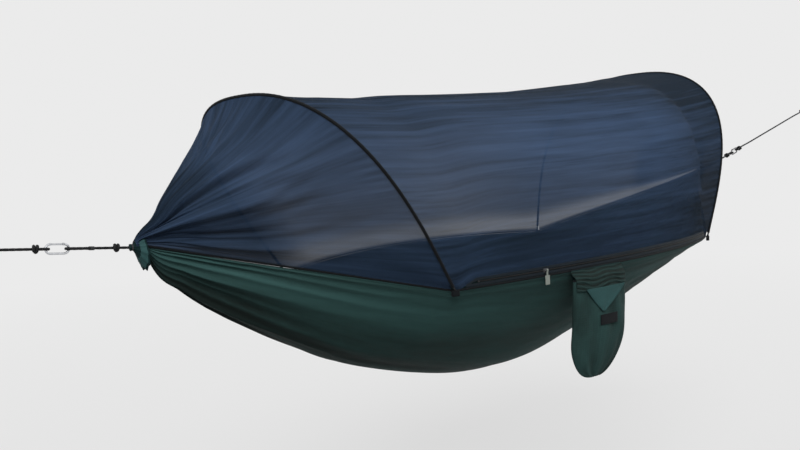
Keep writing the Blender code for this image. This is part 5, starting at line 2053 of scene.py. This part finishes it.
@dataclass
class Zip:
    """The zip along the near hem: two woven tapes, the coil's turns, its stops, slider and pull."""

    finishes: Finishes
    sewing: RowOf
    half: float = 0.514
    tape_half: float = 0.548
    thickness: float = 0.9 * MM
    wire: float = 0.5 * MM
    pitch: float = 1.5 * MM
    ripple: float = 0.22 * MM
    shut_from: float = 4.0 * MM
    shut_run: float = 18.0 * MM

    @property
    def coil_lift(self) -> float:
        """How far the coil's centre is above the hem's centre."""
        return FORM.hem_radius + FORM.zip_tape + FORM.coil_radius + 2 * SEAT

    def tape(self, which: Tape, low: float) -> list[Object]:
        """One woven tape, slightly wavy, with its stitches; the upper one meets the lower past the coil.

        Args:
            which: the lower or the upper one.
            low: the height of its lower edge over the hem's centre.

        Returns:
            The tape and the stitches.
        """
        word, row = which.word, which.value
        x = np.linspace(-self.tape_half, self.tape_half, 300)
        v = np.linspace(0, 1, 8)
        wave = noise_grid(x, v, (26.0, 1.5), 120.0 + low * 1000) * self.ripple
        up = FORM.arc_frame(Side.NEAR)[2]
        shut = ramp(np.abs(x), self.half + self.shut_from, self.shut_run) * (which is Tape.UPPER)
        drop = (shut * 2 * (FORM.coil_radius + SEAT))[:, None] * up
        lifts = low + FORM.zip_tape * v
        grid = np.stack([FORM.arc(Side.NEAR, x, lift=lift) - drop for lift in lifts], axis=1)
        grid = grid + grid_normals(grid) * wave[..., None]
        tape = sheet_piece(f"zip_{word}_cloth", grid, self.finishes.tape, self.thickness, FORM.zip_tape)
        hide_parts(f"zip_tape_{word}")
        out = -grid_normals(grid)[:, row]
        out *= -np.sign(out[:, 1:2])
        stitches = self.sewing.along(f"zip_{word}_stitches", [(grid[:, row] + out * self.thickness / 2, out)])
        return settle([tape, stitches], "hammock")

    def build(self) -> list[Object]:
        """Builds the tapes and the coil, and dresses the stops, the slider and the pull.

        Returns:
            The pieces that it makes.
        """
        pieces = self.tape(Tape.LOWER, FORM.hem_radius + SEAT)
        pieces += self.tape(Tape.UPPER, self.coil_lift + FORM.coil_radius + SEAT)
        x = np.linspace(-self.half + 1 * MM, self.half - 1 * MM, 400)
        line = FORM.arc(Side.NEAR, x, lift=self.coil_lift)
        out = FORM.arc(Side.NEAR, x, lift=self.coil_lift, proud=1.0) - line
        turn = Elements.coil_turn(FORM.coil_radius - self.wire, self.wire)
        turns = RowOf(turn, self.finishes.plastic, self.pitch, wander=0.0, seed=5)
        coil = turns.along("zip_coil_turns", [(line, out)])
        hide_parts("zip_coil")
        for end in End:
            wear(f"zip_stop_{end.word}", self.finishes.plastic)
        wear("zip_slider", self.finishes.dark_alloy)
        wear("zip_pull", self.finishes.pull)
        return pieces + settle([coil], "hammock")


@dataclass
class Pouch:
    """The soft pouch on the near hem: yoke, gathered apron, bag, bound mouth, flap and bare patch."""

    finishes: Finishes
    sewing: RowOf
    place: float = -0.188
    half: float = 0.0898
    drop: float = 0.257
    wall: float = 1.4 * MM
    mouth: float = 8.0 * MM
    belly: float = 0.017
    toe: float = 0.0034
    rounding: float = 0.8
    tuck: float = 0.09
    taper_from: float = 0.305
    heel_from: float = 0.58
    yoke_drop: float = 0.024
    yoke_thick: float = 1.2 * MM
    rim: float = 1.6 * MM
    flap_half: float = 0.071
    flap_top: float = 0.049
    flap_tip: float = 0.108
    flap_off: float = 0.010
    flap_lean: float = 0.020
    patch_wide: float = 0.060
    patch_high: float = 0.026
    patch_drop: float = 0.118
    taper_power: float = 2.84
    taper_root: float = 0.604
    heel_power: float = 2.10
    heel_root: float = 0.33
    seam_lift: float = 0.9 * MM
    gathers: int = 30
    gather_depth: float = 0.9 * MM
    hang_depth: float = 2.6 * MM
    pull_depth: float = 0.9 * MM
    skirt: float = 1.0 * MM
    apron_start: float = 2.0 * MM
    apron_folds: float = 5.2
    apron_depth: float = 1.5 * MM
    flap_curl: float = 1.6 * MM
    hem_room: float = 0.5 * MM
    bow_room: float = 1.3 * MM
    body: str = "pouch"

    def hung(self, x: Array, drop: Array, proud: Array) -> Array:
        """Points in the pouch's own frame.

        Args:
            x: distances along the hem from the pouch's middle.
            drop: distances below the hem.
            proud: distances out from the hem.

        Returns:
            One point for each.
        """
        x, drop, proud = np.broadcast_arrays(*(np.asarray(a, float) for a in (x, drop, proud)))
        base = FORM.arc(Side.NEAR, np.array(self.place))
        outward = FORM.arc(Side.NEAR, np.array(self.place), proud=1.0) - base
        level = np.array((outward[0], outward[1], 0.0))
        level /= np.linalg.norm(level)
        along = np.array((-level[1], level[0], 0.0))
        along *= math.copysign(1.0, along[0])
        out = proud - self.tuck * np.clip(drop - self.yoke_drop, 0, None)
        up = np.array((0, 0, 1.0))
        return base + x[..., None] * along + out[..., None] * level - drop[..., None] * up

    def section(self, q: Array) -> tuple[Array, Array, Array]:
        """Half the bag's width, its middle and half its thickness, at shares of its depth.

        Args:
            q: Shares of the depth.

        Returns:
            The three of them, for each share.
        """
        q = np.clip(q, 0, 1)
        taper = ramp(q, self.taper_from, 1 - self.taper_from)
        heel = ramp(q, self.heel_from, 1 - self.heel_from)
        right = (1 - taper**self.taper_power) ** self.taper_root
        left = -((1 - heel**self.heel_power) ** self.heel_root)
        half = self.half * (right - left) / 2
        middle = self.half * (right + left) / 2 + self.toe * q**2
        belly = self.belly * np.clip(np.sin(math.pi * q), 0, 1) ** 0.8
        return half, middle, (self.mouth + belly) * np.sqrt(np.clip(1 - q**6, 0, 1))

    @property
    def top(self) -> float:
        """How far below the hem the bag's cloth starts."""
        return self.yoke_drop + 2 * self.rim + 2 * SEAT

    @property
    def standoff(self) -> float:
        """How far the bag's middle hangs outside the hem's centre."""
        return FORM.hem_radius + SEAT + self.yoke_thick + self.mouth

    def rounded(self, swing: Array) -> tuple[Array, Array]:
        """Shares of half width and half thickness round the bag's section."""
        return -blunt(np.cos(swing), self.rounding), blunt(np.sin(swing), self.rounding)

    def front(self, x: Array, drop: Array, off: Array) -> Array:
        """A point in front of the bag's outer face, standing off it by a little.

        Args:
            x: Places across the pouch.
            drop: Depths under the hem.
            off: How far it stands off.

        Returns:
            The points.
        """
        half, middle, thick = self.section((drop - self.top) / self.drop)
        across = np.clip((x - middle) / np.maximum(half, 1e-4), -1, 1)
        bulge = (1 - np.abs(across) ** (2 / self.rounding)) ** (self.rounding / 2)
        return self.hung(x, drop, self.standoff + thick * bulge + off)

    def bag(self) -> Object:
        """The open bag: gathered under its mouth, with soft hanging folds and piped seams.

        Returns:
            The bag.
        """
        q = np.concatenate([np.linspace(0, 0.94, 96), 0.94 + 0.0575 * np.linspace(0.04, 1, 22) ** 0.6])
        around = np.linspace(0, 1, 200, endpoint=False)
        swing = TURN * around
        half, middle, thick = self.section(q)
        across, out = self.rounded(swing)
        x = middle[:, None] + half[:, None] * across
        outer = self.hung(x, (self.top + self.drop * q)[:, None], self.standoff + thick[:, None] * out)
        normal = grid_normals(outer, wrap=True)
        middle_point = outer.mean(axis=1, keepdims=True)
        normal *= np.sign(((outer - middle_point) * normal).sum(axis=2).mean())
        ring = np.abs(np.sin(math.pi * around))
        drift = noise_grid(q, ring, (3.0, 2.0), 140.0) * 0.02
        gathers = np.sin(TURN * self.gathers * (around[None, :] + drift))
        gathers = gathers * np.exp(-q / 0.10)[:, None]
        hang = noise_grid(q, np.cos(swing) * 0.5 + 0.5, (1.6, 5.0), 150.0) * np.clip(q * 6, 0, 1)[:, None]
        pull = np.sin(TURN * (2.1 * q[:, None] + 1.5 * np.cos(swing)[None, :] + 0.3))
        pull = pull * np.sin(math.pi * q)[:, None]
        seam = bump(np.abs(np.sin(swing)), 0, 0.13)[None, :] * np.ones_like(gathers)
        depth = self.gather_depth * gathers + self.hang_depth * hang
        depth = depth + self.pull_depth * pull + self.seam_lift * seam
        depth *= ramp(q, 1, -0.05)[:, None] ** 0.5
        skin = outer + normal * depth[..., None]
        inner = skin - normal * self.wall
        rows, rings = len(around), len(q)
        points = np.concatenate([skin.reshape(-1, 3), inner.reshape(-1, 3)])
        count, low = rings * rows, (rings - 1) * rows
        faces = grid_faces(rings - 1, rows, wrap=True, flip=True)
        faces += grid_faces(rings - 1, rows, count, wrap=True)
        for j in range(rows):
            k = (j + 1) % rows
            faces.append((j, k, count + k, count + j))
        faces.append(tuple(low + j for j in range(rows))[::-1])
        faces.append(tuple(count + low + j for j in range(rows)))
        flat = np.stack(np.meshgrid(q * self.drop, around * 4 * self.half, indexing="ij"), axis=2)
        flat = np.tile(flat.reshape(-1, 2), (2, 1))
        bag = mesh_piece("pouch_bag_cloth", points, faces, self.finishes.cloth, flat)
        # Painted light and shade: lighter and darker with the hanging folds, and lighter towards the bag's
        # left front than its right back.
        mark(bag, "tone", 0.20 * hang + 0.16 * np.cos(swing - 0.4)[None, :] - 0.06)
        tidy_mesh(bag)
        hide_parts("pouch_bag")
        return bag

    def swing_room(self, x: Array) -> Array:
        """How much further out the top is held, so that it clears the bowed hem as the pouch swings."""
        return self.hem_room + self.bow_room * (x / self.half) ** 2

    def yoke(self) -> Object:
        """The strip that carries the bag's back on the hem.

        Returns:
            The strip.
        """
        u, v = np.linspace(-1, 1, 60), np.linspace(0, 1, 12)
        proud = FORM.hem_radius + SEAT + self.yoke_thick / 2
        x = self.half * 0.94 * u
        upper = FORM.arc(Side.NEAR, self.place + x, proud=(proud + self.swing_room(x))[..., None])
        lower = self.hung(x, self.yoke_drop, proud)
        grid = upper[:, None] * (1 - v)[None, :, None] + lower[:, None] * v[None, :, None]
        # The yoke's darker copy of the ripstop is painted shade.
        yoke = sheet_piece("pouch_yoke_cloth", grid, self.finishes.shade, self.yoke_thick, self.yoke_drop)
        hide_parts("pouch_yoke")
        return yoke

    def apron(self) -> Object:
        """The bunched cloth over the bag's mouth: creases that run along the hem, one under the other.

        Returns:
            The bunched cloth.
        """
        u, v = np.linspace(-1, 1, 120), np.linspace(0, 1, 70)
        wide = self.half * (0.97 - 0.02 * v)
        x = u[:, None] * wide[None, :]
        drop = self.apron_start + (self.flap_top + 4 * MM - self.apron_start) * v
        near = FORM.hem_radius + SEAT + self.yoke_thick + 1.2 * MM + self.swing_room(x)
        swell = ramp(v, 0, 0.45) ** 1.2
        swell = swell * swell * (3 - 2 * swell)
        low = np.maximum(drop, self.top)
        over = self.front(x, low[None, :] + 0 * x, self.wall / 2 + self.rim + 2 * SEAT + 0 * x)
        over[..., 2] += (low - drop)[None, :]
        hem = FORM.arc(Side.NEAR, self.place + x, proud=near[..., None])
        hem[..., 2] -= drop[None, :]
        grid = hem * (1 - swell)[None, :, None] + over * swell[None, :, None]
        drift = noise_grid(u, v, (1.4, 1.2), 160.0) * 0.10
        fold = np.sin(TURN * self.apron_folds * (v[None, :] + drift))
        fold = fold + 0.4 * np.sin(TURN * 11 * (v[None, :] + drift * 1.7))
        rise = fold * (0.5 + 0.6 * noise_grid(u, v, (2.2, 3.0), 170.0))
        height = np.clip(rise, -0.6, 1.6) * self.apron_depth * ramp(v, 0, 0.08)
        grid = grid + near_normals(grid) * height[..., None]
        apron = sheet_piece("pouch_apron_cloth", grid, self.finishes.cloth, self.skirt, self.flap_top)
        # Painted light and shade on its creases: lighter on their crests, darker in their troughs; the whole
        # apron is also darker.
        mark(apron, "tone", 0.16 * np.clip(fold, -1, 1) - 0.24)
        return apron

    def flap(self) -> tuple[Object, Array]:
        """The three-cornered flap, in the lighter copy of the ripstop that paints a highlight, and its front
        grid.

        Returns:
            The flap, and the points of its front.
        """
        u, v = np.linspace(-1, 1, 70), np.linspace(0, 1, 56)
        half = self.flap_half * (1 - 0.93 * v**1.08)
        x = (self.flap_off - self.flap_lean * v)[None, :] + u[:, None] * half[None, :]
        drop = (self.flap_top + (self.flap_tip - self.flap_top) * v)[None, :] + 0 * x
        off = self.wall / 2 + self.rim + 2 * SEAT + 1.6 * MM + 0 * x
        grid = self.front(x, drop, off)
        curl = noise_grid(u, v, (1.6, 1.4), 180.0) * 1.3 * MM + self.flap_curl * v[None, :] ** 2
        grid = grid + near_normals(grid) * np.clip(curl, -0.4 * MM, 4 * MM)[..., None]
        flap = sheet_piece("pouch_flap_cloth", grid, self.finishes.bright, self.skirt, 2 * self.flap_half)
        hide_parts("pouch_flap")
        return flap, grid

    def patch(self) -> tuple[Object, Array]:
        """The bare patch, and its front grid.

        Returns:
            The patch, and the points of its front.
        """
        u, v = np.linspace(-0.5, 0.5, 40), np.linspace(0, 1, 20)
        x = self.flap_off + self.patch_wide * u[:, None] + 0 * v[None, :]
        drop = self.patch_drop + self.patch_high * v[None, :] + 0 * x
        soft = (1 - np.abs(2 * u[:, None]) ** 8) * (1 - np.abs(2 * v[None, :] - 1) ** 6)
        grid = self.front(x, drop, self.wall + 2 * SEAT + 0.5 * MM * soft + 2.0 * MM)
        patch = sheet_piece("pouch_patch_cloth", grid, self.finishes.binding, self.skirt, self.patch_high)
        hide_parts("pouch_patch")
        return patch, grid

    def mouth_ring(self) -> Object:
        """The bound edge round the bag's mouth.

        Returns:
            The binding.
        """
        across, out = self.rounded(np.linspace(0, TURN, 140, endpoint=False))
        drop = self.yoke_drop + SEAT + self.rim
        line = self.hung(self.half * across, drop, self.standoff + self.mouth * out)
        cloth = self.finishes.binding
        rim = round_piece("pouch_mouth_binding", line, self.rim * 0.97, cloth, 12, closed=True)
        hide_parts("pouch_rim")
        return rim

    def seams(self, flap: Array, patch: Array) -> Object:
        """The rows of stitches on the flap and round the patch, each on one column or row of a grid.

        Args:
            flap: the flap's front grid.
            patch: the patch's front grid.

        Returns:
            The stitches.
        """
        flap_edges = ((3, None), (-4, None))
        patch_edges = ((1, None), (-2, None), (None, 1), (None, -2))
        rows = []
        for grid, edges in ((flap, flap_edges), (patch, patch_edges)):
            normal = near_normals(grid)
            for column, row in edges:
                line = grid[column, 1:-2] if row is None else grid[1:-1, row]
                out = normal[column, 1:-2] if row is None else normal[1:-1, row]
                rows.append((line + out * 0.55 * MM, out))
        return self.sewing.along("pouch_stitches", rows)

    def build(self) -> list[Object]:
        """Builds the pouch.

        Returns:
            Its pieces.
        """
        flap, flap_grid = self.flap()
        patch, patch_grid = self.patch()
        pieces = [self.bag(), self.yoke(), self.apron(), flap, patch, self.mouth_ring()]
        pieces.append(self.seams(flap_grid, patch_grid))
        return settle(pieces, self.body)


def settle(pieces: Sequence[Object], body: str) -> list[Object]:
    """Lets pieces ride on a body, and gives them back.

    Args:
        pieces: The pieces.
        body: The body that carries them.

    Returns:
        The same pieces.
    """
    for piece in pieces:
        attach(piece, body)
    return list(pieces)


def tidy_mesh(piece: Object) -> None:
    """Merges a closed piece's doubled points and turns its faces outward.

    Args:
        piece: The piece, whose mesh is changed.
    """
    work = bmesh.new()
    work.from_mesh(piece.data)
    bmesh.ops.remove_doubles(work, verts=work.verts, dist=0.005 * MM)
    bmesh.ops.recalc_face_normals(work, faces=work.faces)
    work.to_mesh(piece.data)
    work.free()


def path_length(line: Array) -> float:
    """The length of a line."""
    return float(np.linalg.norm(np.diff(line, axis=0), axis=1).sum())


# The studio


@dataclass
class Studio:
    """The camera of the photograph, soft lamps, and a pale floor and background."""

    spot: Triple = (-0.379332, -1.7503, 0.126781)
    right: Triple = (0.74461, -0.66474, -0.06063)
    up: Triple = (0.10112, 0.02256, 0.99462)
    ahead: Triple = (0.65980, 0.74673, -0.08401)
    lens: float = 38.583
    sensor: float = 36.0
    floor: float = -1.05
    pale: float = 0.83
    ambient: float = 0.36
    ground_tone: float = 0.16
    floor_half: float = 60.0
    fade_from: float = 2.5
    fade_to: float = 8.0
    fade_least: float = 0.75

    def camera(self) -> None:
        """Sets the camera where the photograph was taken from."""
        data = bpy.data.cameras.new("photo_camera")
        data.lens, data.sensor_width = self.lens, self.sensor
        camera = show(bpy.data.objects.new("photo_camera", data))
        turn = Matrix((self.right, self.up, tuple(-a for a in self.ahead))).transposed()
        camera.matrix_world = Matrix.Translation(Vector(self.spot)) @ turn.to_4x4()
        bpy.context.scene.camera = camera

    def lamp(self, name: str, ahead: Sequence[float], strength: float, spread: float) -> None:
        """A wide soft lamp far away, shining along a direction.

        Args:
            name: The lamp's name.
            ahead: The way that it shines.
            strength: Its strength.
            spread: How wide it looks, in degrees.
        """
        data = bpy.data.lights.new(name, "SUN")
        data.energy, data.angle = strength, math.radians(spread)
        lamp = show(bpy.data.objects.new(name, data))
        lamp.rotation_euler = Vector(ahead).to_track_quat("-Z", "Y").to_euler()

    def seen(self, tree: NodeTree) -> NodeSocket:
        """One where a ray is what the camera, a reflection or glass sees.

        Args:
            tree: The tree that gets the nodes.

        Returns:
            The socket with the number.
        """
        path = tree.nodes.new("ShaderNodeLightPath")
        total = path.outputs["Is Camera Ray"]
        for word in ("Is Glossy Ray", "Is Transmission Ray"):
            node = tree.nodes.new("ShaderNodeMath")
            node.operation = "MAXIMUM"
            tree.links.new(total, node.inputs[0])
            tree.links.new(path.outputs[word], node.inputs[1])
            total = node.outputs[0]
        return total

    def background(self) -> None:
        """A pale world to look at, and an even light from it."""
        world = bpy.data.worlds.new("pale_room")
        bpy.context.scene.world = world
        world.use_nodes = True
        tree = world.node_tree
        light = tree.nodes["Background"]
        light.inputs["Color"].default_value = (1, 1, 1, 1)
        light.inputs["Strength"].default_value = self.ambient
        view = tree.nodes.new("ShaderNodeBackground")
        view.inputs["Color"].default_value = (self.pale, self.pale, self.pale, 1)
        mix = tree.nodes.new("ShaderNodeMixShader")
        tree.links.new(self.seen(tree), mix.inputs["Fac"])
        tree.links.new(light.outputs[0], mix.inputs[1])
        tree.links.new(view.outputs[0], mix.inputs[2])
        tree.links.new(mix.outputs[0], tree.nodes["World Output"].inputs["Surface"])

    def ground(self) -> None:
        """A plain pale floor below the hammock that keeps its shadow."""
        mesh = bpy.data.meshes.new("floor")
        far = self.floor_half
        corners = [(-far, -far), (far, -far), (far, far), (-far, far)]
        mesh.from_pydata([(a, b, self.floor) for a, b in corners], [], [(0, 1, 2, 3)])
        floor = show(bpy.data.objects.new("floor", mesh))
        n = Nodes("pale_floor")
        tone = n.blend(self.seen(n.tree), (self.ground_tone,) * 3, (0.80, 0.80, 0.80))
        n.feed("Base Color", tone)
        n.feed("Roughness", 0.9)
        n.feed("Specular IOR Level", 0.0)
        glow = n.add("ShaderNodeEmission", {"Color": (self.pale, self.pale, self.pale, 1), "Strength": 1.0})
        away = n.add("ShaderNodeVectorMath", {0: n.place()}, operation="LENGTH").outputs["Value"]
        limits = {"From Min": self.fade_from, "From Max": self.fade_to, "To Min": self.fade_least}
        fade = n.add("ShaderNodeMapRange", {"Value": away, **limits})
        share = n.math("MULTIPLY", self.seen(n.tree), fade.outputs["Result"])
        mix = n.add("ShaderNodeMixShader", {0: share, 1: n.shader.outputs[0], 2: glow.outputs[0]})
        n.tree.links.new(mix.outputs[0], n.tree.nodes["Material Output"].inputs["Surface"])
        mesh.materials.append(n.material)

    def build(self) -> None:
        """Builds the camera, the lamps, the world and the floor."""
        bpy.context.scene.view_settings.view_transform = "Standard"
        self.camera()
        self.lamp("key_lamp", ahead=(0.55, 0.62, -0.80), strength=1.75, spread=40)
        self.lamp("fill_lamp", ahead=(-0.75, 0.35, -0.35), strength=0.55, spread=60)
        self.background()
        self.ground()


def wear(node: str, material: Material) -> None:
    """Gives a carried-over solid its finish.

    Args:
        node: The solid's name.
        material: Its finish.
    """
    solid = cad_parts[node]
    for slot in solid.material_slots:
        slot.material = material
    if not solid.material_slots:
        solid.data.materials.append(material)


def main() -> None:
    """Builds the hammock tent."""
    logging.basicConfig(level=logging.INFO, format="%(name)s: %(message)s")
    Studio().build()
    finishes = Finishes()
    sewing = RowOf(Elements.stitch(), finishes.thread, 3.4 * MM)
    left = RopeEnd(
        End.LEFT, finishes, angle=math.radians(5.8), knot_at=0.022, eye_from=0.078, eye_long=0.058,
        rope_to=0.300, strop_length=0.20, rope_length=0.38, whip_long=9 * MM,
    )
    right = RopeEnd(
        End.RIGHT, finishes, angle=math.radians(13.5), knot_at=0.186, eye_from=0.214, eye_long=0.028,
        rope_to=0.940, strop_length=0.28, rope_length=0.92, whip_long=4 * MM,
    )
    for rope_end in (left, right):
        for piece in rope_end.build():
            log.info("made %s", piece.name)
    parts = [Hammock(finishes, sewing), Canopy(finishes), Zip(finishes, sewing), Pouch(finishes, sewing)]
    parts += [Hoop(end, finishes, sewing) for end in End]
    parts += [FootPocket(end, side, finishes, sewing) for end in End for side in Side]
    for part in parts:
        for piece in part.build():
            faces = piece.data.polygons
            log.info("made %s: %d faces, %.3f m2", piece.name, len(faces), sum(face.area for face in faces))
    for end, metal in ((End.LEFT, finishes.alloy), (End.RIGHT, finishes.dark_alloy)):
        wear(f"carabiner_{end.word}", metal)
        wear(f"carabiner_gate_{end.word}", metal)
        wear(f"gate_pin_{end.word}", finishes.dark_alloy)
        wear(f"hoop_pole_{end.word}", finishes.pole)


if __name__ == "__main__":
    main()
